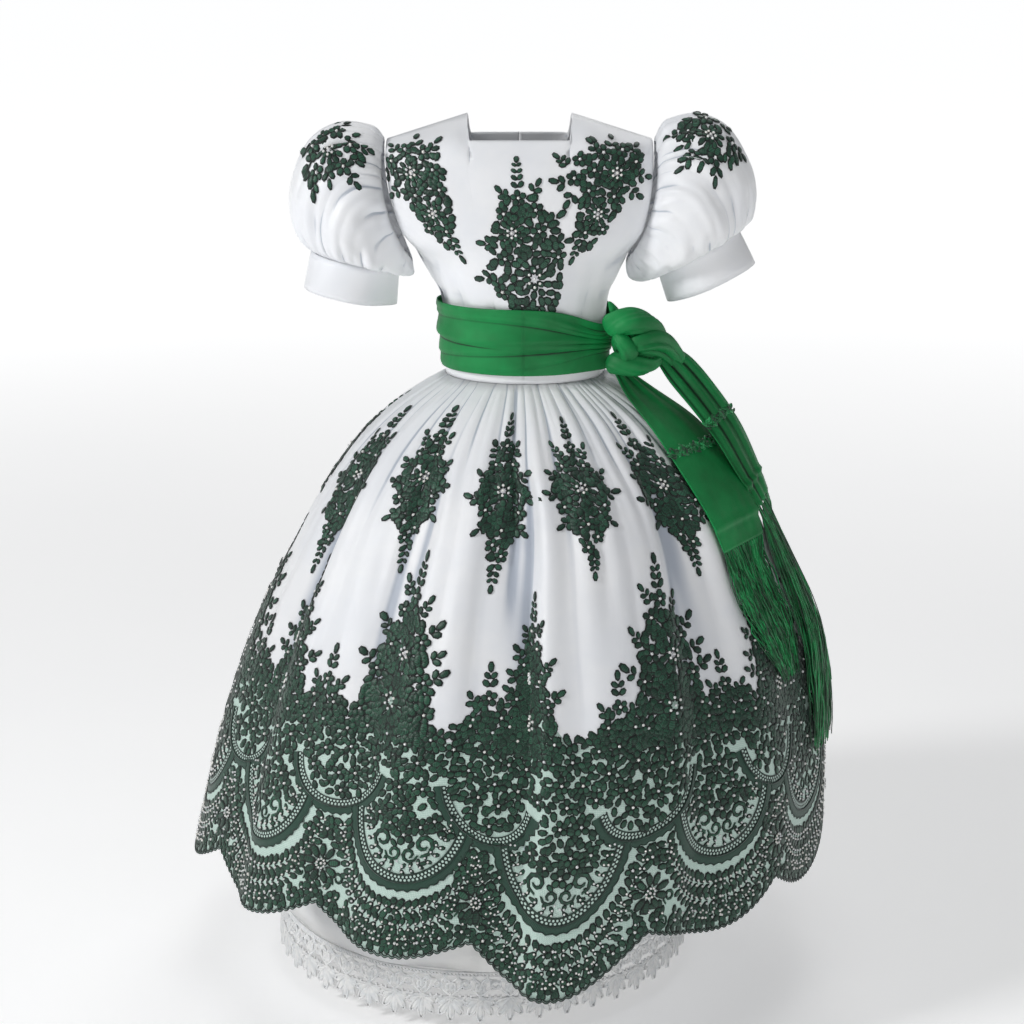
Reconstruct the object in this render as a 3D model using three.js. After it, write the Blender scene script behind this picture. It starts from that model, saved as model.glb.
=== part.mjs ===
// China poblana dress for a child, worn shape with nobody in it: bodice, puff sleeves with cuffs, gathered
// bell skirt with a lace border and lace appliques, underskirt with a guipure trim, and a knotted sash.
// Millimetres, +Z up, front towards -Y, the wearer's left towards +X. The origin is the middle of the
// shoulder line, where the wearer holds the dress up.
import * as THREE from 'three';

// ---- driving dimensions -------------------------------------------------------------------------------
const SATIN = 1.5;              // thickness of the satin walls
const LACE = 1.0;               // thickness of the lace walls
const SEAM_GAP = 0.3;           // clear space between two pieces that are sewn together
const LAID_ON = SATIN + SEAM_GAP;

const SKIRT_COLUMNS = 80;       // columns of the skirt all round, 4.5 degrees each
const SIDE_COLUMN = SKIRT_COLUMNS / 4;
const HEM_HEIGHT = -796;        // the hem between two scallops
const SCALLOP_DEPTH = 32;
const FRONT_DIP = 38;           // how much lower the hem hangs at the middle of the front
const FRONT_DIP_ANGLE = 7;      // degrees
const FRONT_DIP_WIDTH = 14;
const RIPPLE = 3;               // the waist gathers stand this far in and out
const RIPPLE_ENDS = -480;       // height at which the gathers have died out
const FOLD_STARTS = -300;
const FOLD_WIDTH = 11;          // degrees from the bottom of a fold to its shoulder
const FOLD_MEAN = 8;            // mean of all folds round the skirt, so that they leave its size as it is
const FOLD_SWELL = 4;           // the folds are at their deepest after one part in this many of their length
const FOLD_AT_HEM = 0.55;       // share of that depth that is left at the hem

const SLEEVE_COLUMNS = 24;
const SLEEVE_PIVOT = { x: 134, z: -95 };
const LEFT_SLEEVE_LIFT = 14;    // degrees the wearer's left sleeve stands higher than the right one
const LEFT_FULLNESS = 1.06;      // how much wider the raised sleeve's puff stands
const CUFF_HEIGHT = 38;
const CUFF_START = 3 * SATIN;     // the cuff starts below the puff's wall, which turns under here
const CUFF_THICKNESS = 2;
const PUFF_RIPPLE = 2.2;

const NECK_HALF_WIDTH = 55;
const SHOULDER_TIP = 143;
const SHOULDER_TOP = -2;
const SHOULDER_DROP = 28;
const NECKLINE_HEIGHT = -27;
const NECKLINE_DEPTH = 45;
const NECK_CORNER = 0.37;       // fraction of the shoulder width where the square neckline turns up

const SASH_COLUMNS = 32;
const SASH_THICKNESS = 3;
const SASH_BOTTOM = -275.5;
const KNOT_ANGLE = 66;          // degrees round from the middle of the front
const SASH_PULL = 7;            // the knot pulls the wrap this far out
const SASH_PULL_WIDTH = 13;     // degrees
const SASH_DROOP = 22;          // and its top edge this far down
const SASH_DROOP_WIDTH = 34;
const SASH_BACK_DROP = 4;       // how much lower the top edge is at the back
const KNOT = { x: 124, y: -44, z: -247, along: 25, out: 20, tall: 26 };
const KNOT_SQUARENESS = 0.12;
const TAIL_THICKNESS = 5;
const FRINGE_THICKNESS = 9;
const UNDERSKIRT_COLUMNS = 30;

// Skirt sections, top to bottom. left and right: how far the sides reach; front and back: depths.
const SKIRT_ROWS = [
  { z: -287, left: 82, right: 94, depth: 74 },
  { z: -316, left: 129, right: 146, depth: 124 },
  { z: -352, left: 170, right: 190, depth: 167 },
  { z: -392, left: 202, right: 231, depth: 203 },
  { z: -436, left: 230, right: 260, depth: 232 },
  { z: -480, left: 254, right: 279, depth: 256 },
  { z: -530, left: 280, right: 301, depth: 281 },
  { z: -580, left: 301, right: 320, depth: 302 },
  { z: -685, left: 338, right: 343, depth: 338 },
  { z: HEM_HEIGHT, left: 367, right: 348, depth: 361 },
];
const HEM_ROW = SKIRT_ROWS.length - 1;
const BORDER_TOP_ROW = 7;

// Hollow folds between the rounded pleats: angle at the top and at the hem, and depth at mid height.
const FOLDS = [
  { top: -90, hem: -86, depth: 9 },
  { top: -63, hem: -57, depth: 14 },
  { top: -29, hem: -31, depth: 12 },
  { top: -1, hem: 1, depth: 16 },
  { top: 37, hem: 33, depth: 13 },
  { top: 64, hem: 62, depth: 9 },
  { top: 90, hem: 89, depth: 12 },
  { top: 117, hem: 116, depth: 14 },
  { top: 143, hem: 145, depth: 11 },
  { top: 172, hem: 170, depth: 15 },
  { top: 199, hem: 198, depth: 12 },
  { top: 226, hem: 224, depth: 14 },
  { top: 250, hem: 251, depth: 10 },
];

// Columns of the tall lace points of the border, rows that each stands above the border, and the columns of
// the diamond appliques between them.
const TALL_POINTS = [-19, -13, -6, 0, 7, 13, 19, 25, 31, 37, 43, 49, 55];
const RISES = [3, 3, 3, 2, 3, 2, 3, 3, 3, 3, 3, 3, 3];
const DIAMONDS = [-15, -8, -2, 3, 10, 16, 22, 28, 34, 40, 46, 52, 58];
const DIAMOND_TOP_ROW = 1;
const DIAMOND_REACH = 2;        // columns from the middle to the widest place

// Bodice sections below the shoulders. edge: half width at the side seam or armhole; edgeY: how far the
// armhole edge stands from the side line; front and back: depths on the centre line; shift: centre in x.
const BODICE_ROWS = [
  { z: -52, edge: 143, edgeY: 22, front: 65, back: 59, shift: 0 },
  { z: -80, edge: 140, edgeY: 34, front: 74, back: 67, shift: 1 },
  { z: -108, edge: 134, edgeY: 38, front: 80, back: 73, shift: 2 },
  { z: -134, edge: 125, edgeY: 30, front: 84, back: 76, shift: 3 },
  { z: -155, edge: 113, edgeY: 0, front: 85, back: 78, shift: 4 },
  { z: -178, edge: 101, edgeY: 0, front: 83, back: 77, shift: 5 },
  { z: -199, edge: 91, edgeY: 0, front: 80, back: 75, shift: 6 },
  { z: -240, edge: 87, edgeY: 0, front: 74, back: 72, shift: 6 },
  { z: -269.5, edge: 86, edgeY: 0, front: 72, back: 71, shift: 6 },
];
// How far down and out the rounded row stands between the top edge and the first section.
const SHOULDER_TURN = { down: 0.42, out: 0.74 };
const NECKLINE_TURN = { down: 0.5, out: 0.55 };
const NECKLINE_ROUNDING = 0.96;  // depth of the neckline's corners, as a share of its middle
const ACROSS = [1, 0.86, 0.7, 0.55, 0.39, NECK_CORNER, 0.19, 0];

// Puff sleeve rings from the armhole to the cuff seam, for the wearer's left. The outer and the inner point
// of a ring lie in the plane of the shoulders; halfY is its half depth; bulge moves its flanks outward.
const SLEEVE_ROWS = [
  { outerX: 148, outerZ: -29, innerX: 119, innerZ: -161, halfY: 40, bulge: 12 },
  { outerX: 160, outerZ: -21, innerX: 120, innerZ: -165, halfY: 53, bulge: 10 },
  { outerX: 192, outerZ: -18, innerX: 120, innerZ: -168, halfY: 62, bulge: 8 },
  { outerX: 221, outerZ: -36, innerX: 122, innerZ: -171, halfY: 66, bulge: 5 },
  { outerX: 240, outerZ: -80, innerX: 124, innerZ: -173, halfY: 67, bulge: 2 },
  { outerX: 248, outerZ: -113, innerX: 126, innerZ: -174, halfY: 65, bulge: 0 },
  { outerX: 246, outerZ: -137, innerX: 129, innerZ: -172, halfY: 59, bulge: 0 },
  { outerX: 231, outerZ: -149, innerX: 134, innerZ: -167, halfY: 50, bulge: 0 },
];
const CUFF_SEAM = SLEEVE_ROWS.length - 1;
const CUFF_FLARE = 1.06;

// Underskirt and guipure trim sections: half width, depth and centre.
const UNDERSKIRT_ROWS = [
  { z: -290, half: 83, depth: 70, centre: 6 },
  { z: -345, half: 120, depth: 108, centre: 4 },
  { z: -470, half: 168, depth: 156, centre: -6 },
  { z: -690, half: 212, depth: 206, centre: -26 },
  { z: -903.5, half: 235, depth: 233, centre: -42 },
];
const TRIM_ROWS = [
  { z: -904.1, half: 235.5, depth: 233.5, centre: -42 },
  { z: -963, half: 239, depth: 238, centre: -43 },
];

// Sash tails and fringes lying over the skirt, top to bottom: the angles of the two edges, and how far
// each edge stands off the skirt.
const FRONT_TAIL = [
  { z: -277, from: 62, to: 76, offFrom: 38, offTo: 38 },
  { z: -300, from: 58, to: 76, offFrom: 22, offTo: 24 },
  { z: -335, from: 56, to: 77, offFrom: 11, offTo: 15 },
  { z: -375, from: 52, to: 74, offFrom: 8, offTo: 12 },
  { z: -415, from: 51, to: 72, offFrom: 7, offTo: 9 },
  { z: -452, from: 51, to: 70, offFrom: 6, offTo: 9 },
];
// The back tail arches out of the knot, so its rows give the points of its two edges in space.
const BACK_TAIL = [
  { inner: [150, -48, -266], outer: [153, -22, -248] },
  { inner: [164, -56, -287], outer: [189, -14, -268] },
  { inner: [190, -60, -318], outer: [221, -8, -306] },
  { inner: [216, -62, -352], outer: [247, -2, -345] },
  { inner: [241, -63, -392], outer: [266, 2, -385] },
  { inner: [264, -64, -427], outer: [281, 4, -423] },
];
const FRONT_FRINGE = [
  { z: -453, from: 51, to: 69.5, offFrom: 6, offTo: 8 },
  { z: -500, from: 52, to: 70, offFrom: 6, offTo: 9 },
  { z: -550, from: 55, to: 70, offFrom: 6, offTo: 10 },
  { z: -590, from: 60, to: 67, offFrom: 7, offTo: 8 },
];
const BACK_FRINGE = [
  { z: -429, from: 75, to: 93, offFrom: 12, offTo: 17 },
  { z: -500, from: 74.5, to: 92, offFrom: 10, offTo: 20 },
  { z: -560, from: 73, to: 90, offFrom: 10, offTo: 22 },
  { z: -620, from: 70, to: 86, offFrom: 8, offTo: 16 },
  { z: -690, from: 68, to: 80, offFrom: 7, offTo: 9 },
];

// ---- small helpers ------------------------------------------------------------------------------------
const rad = THREE.MathUtils.degToRad;
const vec = (x, y, z) => new THREE.Vector3(x, y, z);
const mix = (a, b, t) => a + (b - a) * t;
const wrapDegrees = (angle) => ((angle + 180) % 360 + 360) % 360 - 180;
const bell = (distance, width) => Math.exp(-((distance / width) ** 2));

// A grid of points: i runs round the body from the wearer's right across the front, k runs downward, so that
// the outward side is (down x along).
function makeGrid(columns, rows, closed, pointAt) {
  const points = [];
  for (let i = 0; i < columns; i += 1) {
    points.push([]);
    for (let k = 0; k < rows; k += 1) points[i].push(pointAt(i, k));
  }
  const grid = { columns, rows, closed, points, normals: [], flipped: new Set() };
  for (let i = 0; i < columns; i += 1) {
    grid.normals.push([]);
    for (let k = 0; k < rows; k += 1) grid.normals[i].push(normalAt(grid, i, k));
  }
  return grid;
}

function column(grid, i) {
  return grid.closed ? (i + grid.columns * 4) % grid.columns : Math.min(Math.max(i, 0), grid.columns - 1);
}

function normalAt(grid, i, k) {
  const before = grid.points[column(grid, i - 1)];
  const after = grid.points[column(grid, i + 1)];
  const here = grid.points[column(grid, i)];
  const along = after[k].clone().sub(before[k]);
  const down = here[Math.min(k + 1, grid.rows - 1)].clone().sub(here[Math.max(k - 1, 0)]);
  return down.cross(along).normalize();
}

// The quads whose diagonal has to run the other way, so that a slanting edge of a piece follows it.
function turnDiagonals(grid, inside) {
  const last = grid.closed ? grid.columns : grid.columns - 1;
  for (let i = 0; i < last; i += 1) {
    for (let k = 0; k < grid.rows - 1; k += 1) {
      const missing = corners(i, k).filter(([ci, ck]) => !inside(ci, ck));
      if (missing.length !== 1) continue;
      const [ci, ck] = missing[0];
      if ((ci === i) === (ck === k)) grid.flipped.add(`${i},${k}`);
    }
  }
}

const corners = (i, k) => [[i, k], [i + 1, k], [i + 1, k + 1], [i, k + 1]];

// A wall on the part of a grid where inside(i, k) holds, between two distances from the grid's surface.
// nudge(i) moves a column along the grid, to leave a gap at a seam.
function wall(grid, inside, near, far, nudge = () => 0) {
  const index = new Map();
  const triangles = [];
  const numberOf = (i, k) => {
    const key = `${column(grid, i)},${k}`;
    if (!index.has(key)) index.set(key, { i, k, at: index.size });
    return index.get(key).at;
  };
  const last = grid.closed ? grid.columns : grid.columns - 1;
  const first = inside.first ?? 0;
  for (let i = first; i < (inside.last ?? last); i += 1) {
    for (let k = 0; k < grid.rows - 1; k += 1) {
      const kept = corners(i, k).filter(([ci, ck]) => inside(ci, ck)).map(([ci, ck]) => numberOf(ci, ck));
      if (kept.length === 4) {
        const [a, b, c, d] = kept;
        const turned = grid.flipped.has(`${column(grid, i)},${k}`);
        if (turned) triangles.push([a, d, b], [b, d, c]);
        else triangles.push([a, c, b], [a, d, c]);
      } else if (kept.length === 3) {
        triangles.push([kept[0], kept[2], kept[1]]);
      }
    }
  }
  const count = index.size;
  const positions = new Float32Array(count * 6);
  for (const { i, k, at } of index.values()) {
    const ci = column(grid, i);
    const along = grid.points[column(grid, i + 1)][k].clone().sub(grid.points[column(grid, i - 1)][k]);
    const base = grid.points[ci][k].clone().addScaledVector(along.normalize(), nudge(i));
    base.clone().addScaledVector(grid.normals[ci][k], far).toArray(positions, at * 3);
    base.clone().addScaledVector(grid.normals[ci][k], near).toArray(positions, (count + at) * 3);
  }
  return closedGeometry(positions, triangles, count);
}

// Joins the outer skin, its copy on the inside and the rim between them.
function closedGeometry(positions, triangles, count) {
  const faces = [];
  const edges = new Map();
  for (const [a, b, c] of triangles) {
    faces.push(a, b, c, count + a, count + c, count + b);
    for (const [u, v] of [[a, b], [b, c], [c, a]]) {
      if (edges.has(`${v},${u}`)) edges.delete(`${v},${u}`);
      else edges.set(`${u},${v}`, [u, v]);
    }
  }
  for (const [u, v] of edges.values()) {
    faces.push(v, u, count + u, v, count + u, count + v);
  }
  const geometry = new THREE.BufferGeometry();
  geometry.setAttribute('position', new THREE.BufferAttribute(positions, 3));
  geometry.setIndex(faces);
  geometry.computeVertexNormals();
  return geometry;
}

const everywhere = () => true;

// The columns from first to last of a grid, and below a top row where one is given.
function between(first, last, topRow = () => 0) {
  const inside = (i, k) => i >= first && i <= last && k >= topRow(i);
  inside.first = first;
  inside.last = last;
  return inside;
}

// ---- skirt --------------------------------------------------------------------------------------------
function skirtSection(z) {
  const below = Math.max(1, SKIRT_ROWS.findIndex((row) => row.z <= z));
  const [upper, lower] = z < HEM_HEIGHT ? SKIRT_ROWS.slice(-2) : [SKIRT_ROWS[below - 1], SKIRT_ROWS[below]];
  const t = (z - upper.z) / (lower.z - upper.z);
  return {
    half: (mix(upper.left, lower.left, t) + mix(upper.right, lower.right, t)) / 2,
    centre: (mix(upper.right, lower.right, t) - mix(upper.left, lower.left, t)) / 2,
    depth: mix(upper.depth, lower.depth, t),
  };
}

function foldDepth(angle, z) {
  const fall = (z - FOLD_STARTS) / (HEM_HEIGHT - FOLD_STARTS);
  if (fall <= 0) return 0;
  const swell = Math.min(1, fall * FOLD_SWELL) * mix(1, FOLD_AT_HEM, Math.min(fall, 1));
  let depth = -FOLD_MEAN;
  for (const fold of FOLDS) {
    const away = wrapDegrees(angle - mix(fold.top, fold.hem, fall));
    depth += fold.depth * bell(away, FOLD_WIDTH);
  }
  return depth * swell;
}

function skirtPoint(angle, z, out = 0) {
  const { half, centre, depth } = skirtSection(z);
  const reach = out - foldDepth(angle, z);
  const [s, c] = [Math.sin(rad(angle)), Math.cos(rad(angle))];
  return vec(centre + (half + reach) * s, -(depth + reach) * c, z);
}

const columnAngle = (i) => (i * 360) / SKIRT_COLUMNS;
const TIP_LEAD = 7;             // degrees from a tall point to the tip of the scallop under it

function hemHeight(angle) {
  const tips = TALL_POINTS.map((point) => columnAngle(point) + TIP_LEAD);
  const away = tips.map((tip) => Math.abs(wrapDegrees(angle - tip))).sort((a, b) => a - b);
  const fullness = Math.cos((Math.PI / 2) * Math.min(1, away[0] / (away[0] + away[1]) * 2));
  const dip = FRONT_DIP * bell(wrapDegrees(angle - FRONT_DIP_ANGLE), FRONT_DIP_WIDTH);
  return HEM_HEIGHT - SCALLOP_DEPTH * fullness - dip;
}

const skirtGrid = makeGrid(SKIRT_COLUMNS, SKIRT_ROWS.length, true, (i, k) => {
  const angle = columnAngle(i);
  const z = k === HEM_ROW ? hemHeight(angle) : SKIRT_ROWS[k].z;
  const fade = Math.max(0, 1 - (FOLD_STARTS - z) / (FOLD_STARTS - RIPPLE_ENDS));
  const ripple = k === 0 ? 0 : RIPPLE * fade * (i % 2 ? 1 : -1);
  return skirtPoint(angle, z, ripple);
});

const columnsAway = (a, b) => {
  const d = Math.abs(a - b) % SKIRT_COLUMNS;
  return Math.min(d, SKIRT_COLUMNS - d);
};

function borderTopRow(i) {
  const rises = TALL_POINTS.map((point, n) => RISES[n] - columnsAway(i, point));
  return BORDER_TOP_ROW - Math.max(0, ...rises);
}

function diamond(middle) {
  const inside = (i, k) => {
    const row = k - DIAMOND_TOP_ROW;
    const reach = DIAMOND_REACH - Math.abs(row - DIAMOND_REACH);
    return reach >= 0 && Math.abs(i - middle) <= reach;
  };
  inside.first = middle - DIAMOND_REACH;
  inside.last = middle + DIAMOND_REACH;
  return inside;
}

// ---- bodice -------------------------------------------------------------------------------------------
// side is -1 for the front and +1 for the back; across runs from -1 to +1 over the width.
function bodicePoint(side, across, k) {
  const share = Math.abs(across);
  const roundness = Math.sqrt(Math.max(0, 1 - share * share));
  const sign = Math.sign(across);
  const seam = (SEAM_GAP / 2) * side;
  const overShoulder = share > NECK_CORNER;
  if (k === 0) {
    const reach = NECKLINE_DEPTH * mix(NECKLINE_ROUNDING, 1, roundness);
    if (!overShoulder) return vec(across * SHOULDER_TIP, side * reach, NECKLINE_HEIGHT);
    const x = Math.max(NECK_HALF_WIDTH, share * SHOULDER_TIP);
    const drop = (SHOULDER_DROP * (x - NECK_HALF_WIDTH)) / (SHOULDER_TIP - NECK_HALF_WIDTH);
    return vec(sign * x, seam, SHOULDER_TOP - drop);
  }
  const row = BODICE_ROWS[Math.max(0, k - 2)];
  const depth = side < 0 ? row.front : row.back;
  const y = row.edgeY + (depth - row.edgeY) * roundness;
  const full = vec(row.shift + across * row.edge, side * y + seam, row.z);
  if (k > 1) return full;
  // the row that rounds the cloth over the shoulder, or stands just under the neckline
  const top = bodicePoint(side, across, 0);
  const turn = overShoulder ? SHOULDER_TURN : NECKLINE_TURN;
  return vec(mix(top.x, full.x, 0.5), mix(top.y, full.y, turn.out), mix(top.z, row.z, turn.down));
}

const frontColumns = [...ACROSS.map((share) => -share), ...ACROSS.slice(0, -1).reverse()];
const BODICE_LEVELS = BODICE_ROWS.length + 2;
const bodiceGrid = (side, columns) =>
  makeGrid(columns.length, BODICE_LEVELS, false, (i, k) => bodicePoint(side, columns[i], k));
const frontGrid = bodiceGrid(-1, frontColumns);
const CENTRE_BACK_GAP = 0.002;  // share of the half width left free on each side of the centre-back seam
const backColumns = ACROSS.map((share) => Math.max(share, CENTRE_BACK_GAP));
const backLeftGrid = bodiceGrid(1, backColumns);
const backRightGrid = bodiceGrid(1, backColumns.map((share) => -share).reverse());

// Lace on the bodice front: for each row of the grid, the first and the last column that it covers.
const FRONT_LACE = {
  lace_bodice_right: { 1: [2, 4], 2: [1, 4], 3: [1, 4], 4: [2, 4], 5: [3, 5], 6: [4, 5] },
  lace_bodice_centre: { 2: [7, 7], 3: [6, 8], 4: [6, 8], 5: [6, 8], 6: [6, 8], 7: [6, 8], 8: [6, 8] },
  lace_bodice_left: { 1: [10, 12], 2: [10, 13], 3: [10, 13], 4: [10, 12], 5: [9, 11], 6: [9, 10] },
};

function laceNodes(rowsTable) {
  const inside = (i, k) => {
    const span = rowsTable[k];
    return span !== undefined && i >= span[0] && i <= span[1];
  };
  return inside;
}

// ---- sleeves ------------------------------------------------------------------------------------------
// side is +1 for the wearer's left sleeve and -1 for the right one.
function sleevePoint(side, lift, fullness, i, k) {
  const seamRow = Math.min(k, CUFF_SEAM);
  const row = SLEEVE_ROWS[seamRow];
  const turn = (side * i * 2 * Math.PI) / SLEEVE_COLUMNS;
  const [c, s] = [Math.cos(turn), Math.sin(turn)];
  const middle = { x: (row.outerX + row.innerX) / 2, z: (row.outerZ + row.innerZ) / 2 };
  const ripple = seamRow === CUFF_SEAM ? 0 : PUFF_RIPPLE * (i % 2 ? 1 : -1);
  const size = 1 + ripple / row.halfY;
  const spread = k > CUFF_SEAM + 1 ? CUFF_FLARE : 1;
  let x = middle.x + (row.outerX - middle.x) * c * size * spread + row.bulge * s * s;
  let z = middle.z + (row.outerZ - middle.z) * c * size * spread;
  const y = row.halfY * s * size * spread;
  if (k > CUFF_SEAM) {
    const down = k === CUFF_SEAM + 1 ? CUFF_START : CUFF_START + CUFF_HEIGHT;
    const tilt = Math.atan2(row.outerZ - row.innerZ, row.outerX - row.innerX);
    x += down * Math.sin(tilt);
    z -= down * Math.cos(tilt);
  }
  const angle = rad(lift * Math.min(1, k / CUFF_SEAM));
  const puffed = k === 0 || k >= CUFF_SEAM ? 1 : fullness;
  const [dx, dz] = [(x - SLEEVE_PIVOT.x) * puffed, (z - SLEEVE_PIVOT.z) * puffed];
  x = SLEEVE_PIVOT.x + dx * Math.cos(angle) - dz * Math.sin(angle);
  z = SLEEVE_PIVOT.z + dz * Math.cos(angle) + dx * Math.sin(angle);
  return vec(side * x, y, z);
}

const sleeveGrid = (side, lift, fullness) =>
  makeGrid(SLEEVE_COLUMNS, CUFF_SEAM + 3, true, (i, k) => sleevePoint(side, lift, fullness, i, k));

// The lace on top of a puff: columns each side of the ridge, for the rows that it covers.
const SLEEVE_LACE = { 1: 0, 2: 2, 3: 3, 4: 2 };
const sleeveLace = (i, k) => {
  const reach = SLEEVE_LACE[k];
  return reach !== undefined && Math.min(i, SLEEVE_COLUMNS - i) <= reach;
};

// ---- waist, sash and underskirt -----------------------------------------------------------------------
function ring(columns, rows, out = () => 0) {
  return makeGrid(columns, rows.length, true, (i, k) => {
    const angle = (i * 360) / columns;
    const row = rows[k];
    const reach = out(angle, k);
    const z = row.z + (row.drop ? row.drop(angle) : 0);
    const x = row.centre + (row.half + reach) * Math.sin(rad(angle));
    return vec(x, -(row.depth + reach) * Math.cos(rad(angle)), z);
  });
}

const sashPull = (angle) => SASH_PULL * bell(wrapDegrees(angle - KNOT_ANGLE), SASH_PULL_WIDTH);
const sashDroop = (angle) =>
  -SASH_DROOP * bell(wrapDegrees(angle - KNOT_ANGLE), SASH_DROOP_WIDTH) -
  (SASH_BACK_DROP * (1 - Math.cos(rad(angle)))) / 2;
const SASH_ROWS = [
  { z: -202, half: 93.5, depth: 82, centre: 6, drop: sashDroop },
  { z: -236, half: 91, depth: 77.5, centre: 6, drop: (angle) => sashDroop(angle) / 3 },
  { z: SASH_BOTTOM, half: 90, depth: 76, centre: 6 },
];
const WAIST_BAND_ROWS = [
  { z: -269.9, half: 86, depth: 72, centre: 6 },
  { z: -285.2, half: 86.5, depth: 72.5, centre: 6 },
];

function knotGeometry() {
  const geometry = new THREE.SphereGeometry(1, 14, 10);
  geometry.deleteAttribute('uv');
  geometry.deleteAttribute('normal');
  const position = geometry.getAttribute('position');
  const point = vec(0, 0, 0);
  for (let n = 0; n < position.count; n += 1) {
    point.fromBufferAttribute(position, n);
    const farthest = Math.max(Math.abs(point.x), Math.abs(point.y), Math.abs(point.z));
    const squareness = 1 + KNOT_SQUARENESS * (1 - farthest);
    point.set(point.x * KNOT.along, point.z * KNOT.out, point.y * KNOT.tall).multiplyScalar(squareness);
    point.y *= -1;
    position.setXYZ(n, point.x, point.y, point.z);
  }
  return geometry;
}

// A strip over the skirt, worked out from rows of edge angles and distances.
function skirtStrip(rows, columnsAcross) {
  return makeGrid(columnsAcross + 1, rows.length, false, (i, k) => {
    const t = i / columnsAcross;
    const row = rows[k];
    const out = SATIN + mix(row.offFrom, row.offTo, t);
    return skirtPoint(mix(row.from, row.to, t), row.z, out);
  });
}

function backTail() {
  return makeGrid(4, BACK_TAIL.length, false, (i, k) => {
    const { inner, outer } = BACK_TAIL[k];
    return vec(...inner).lerp(vec(...outer), i / 3);
  });
}

// ---- materials ----------------------------------------------------------------------------------------
const material = (name, color, roughness) => {
  const made = new THREE.MeshStandardMaterial({ color, roughness, metalness: 0 });
  made.name = name;
  return made;
};
const white = () => material('white_satin', 0xeef0f2, 0.42);
const cotton = () => material('white_cotton', 0xf2f2f0, 0.75);
const greenLace = () => material('green_lace', 0x173a30, 0.6);
const greenSash = () => material('green_sash', 0x0c6236, 0.5);

// ---- assembly -----------------------------------------------------------------------------------------
const dress = new THREE.Group();

function add(name, geometry, finish, at = null) {
  const mesh = new THREE.Mesh(geometry, finish);
  mesh.name = name;
  if (at) mesh.position.copy(at);
  dress.add(mesh);
}

const seamNudge = (first, last) => (i) => {
  if (i === first) return SEAM_GAP / 2;
  return i === last ? -SEAM_GAP / 2 : 0;
};

function addSkirt() {
  const back = SKIRT_COLUMNS / 2;
  const panels = [
    ['front', -SIDE_COLUMN, SIDE_COLUMN],
    ['back_left', SIDE_COLUMN, back],
    ['back_right', back, back + SIDE_COLUMN],
  ];
  turnDiagonals(skirtGrid, (i, k) => k >= borderTopRow(i));
  for (const middle of DIAMONDS) {
    const shape = diamond(middle);
    turnDiagonals(skirtGrid, (i, k) => shape(middle + columnsAway(i, middle), k));
  }
  for (const [name, first, last] of panels) {
    const nudge = seamNudge(first, last);
    add(`skirt_${name}`, wall(skirtGrid, between(first, last), 0, SATIN, nudge), white());
    const border = between(first, last, borderTopRow);
    add(`lace_border_${name}`, wall(skirtGrid, border, LAID_ON, LAID_ON + LACE, nudge), greenLace());
  }
  DIAMONDS.forEach((middle, n) => {
    const name = `lace_diamond_${String(n + 1).padStart(2, '0')}`;
    add(name, wall(skirtGrid, diamond(middle), LAID_ON, LAID_ON + LACE), greenLace());
  });
}

function addBodice() {
  for (const table of Object.values(FRONT_LACE)) turnDiagonals(frontGrid, laceNodes(table));
  add('bodice_front', wall(frontGrid, everywhere, 0, SATIN), white());
  add('bodice_back_left', wall(backLeftGrid, everywhere, 0, SATIN), white());
  add('bodice_back_right', wall(backRightGrid, everywhere, 0, SATIN), white());
  for (const [name, table] of Object.entries(FRONT_LACE)) {
    add(name, wall(frontGrid, laceNodes(table), LAID_ON, LAID_ON + LACE), greenLace());
  }
}

function addSleeve(name, side, lift, fullness) {
  const grid = sleeveGrid(side, lift, fullness);
  const lace = (i, k) => sleeveLace(column(grid, i), k);
  turnDiagonals(grid, lace);
  const puff = (i, k) => k <= CUFF_SEAM;
  const cuff = (i, k) => k > CUFF_SEAM;
  add(`sleeve_${name}`, wall(grid, puff, 0, SATIN), white());
  add(`cuff_${name}`, wall(grid, cuff, 0, CUFF_THICKNESS), white());
  add(`lace_sleeve_${name}`, wall(grid, lace, LAID_ON, LAID_ON + LACE), greenLace());
}

function addWaist() {
  add('waist_band', wall(ring(SASH_COLUMNS, WAIST_BAND_ROWS), everywhere, 0, SATIN), white());
  add('sash_wrap', wall(ring(SASH_COLUMNS, SASH_ROWS, sashPull), everywhere, 0, SASH_THICKNESS), greenSash());
  add('sash_knot', knotGeometry(), greenSash(), vec(KNOT.x, KNOT.y, KNOT.z));
  add('sash_tail_front', wall(skirtStrip(FRONT_TAIL, 3), everywhere, 0, TAIL_THICKNESS), greenSash());
  add('sash_tail_back', wall(backTail(), everywhere, 0, TAIL_THICKNESS), greenSash());
  add('sash_fringe_front', wall(skirtStrip(FRONT_FRINGE, 3), everywhere, 0, FRINGE_THICKNESS), greenSash());
  add('sash_fringe_back', wall(skirtStrip(BACK_FRINGE, 3), everywhere, 0, FRINGE_THICKNESS), greenSash());
}

function addUnderskirt() {
  add('underskirt', wall(ring(UNDERSKIRT_COLUMNS, UNDERSKIRT_ROWS), everywhere, 0, SATIN), cotton());
  add('guipure_trim', wall(ring(UNDERSKIRT_COLUMNS, TRIM_ROWS), everywhere, 0, SATIN), cotton());
}

addBodice();
addSleeve('left', 1, LEFT_SLEEVE_LIFT, LEFT_FULLNESS);
addSleeve('right', -1, 0, 1);
addSkirt();
addWaist();
addUnderskirt();

export default dress;
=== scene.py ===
"""A child's china poblana dress in its worn shape, with nobody in it.

White satin bodice, puff sleeves and bell skirt with corded green lace, a knotted green sash with
fringes, and an underskirt with a guipure trim. Metres, +Z up, front towards -Y.
"""
import logging
import math
from dataclasses import dataclass, field
from enum import Enum
from typing import Callable, Optional, Sequence, Union

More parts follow.
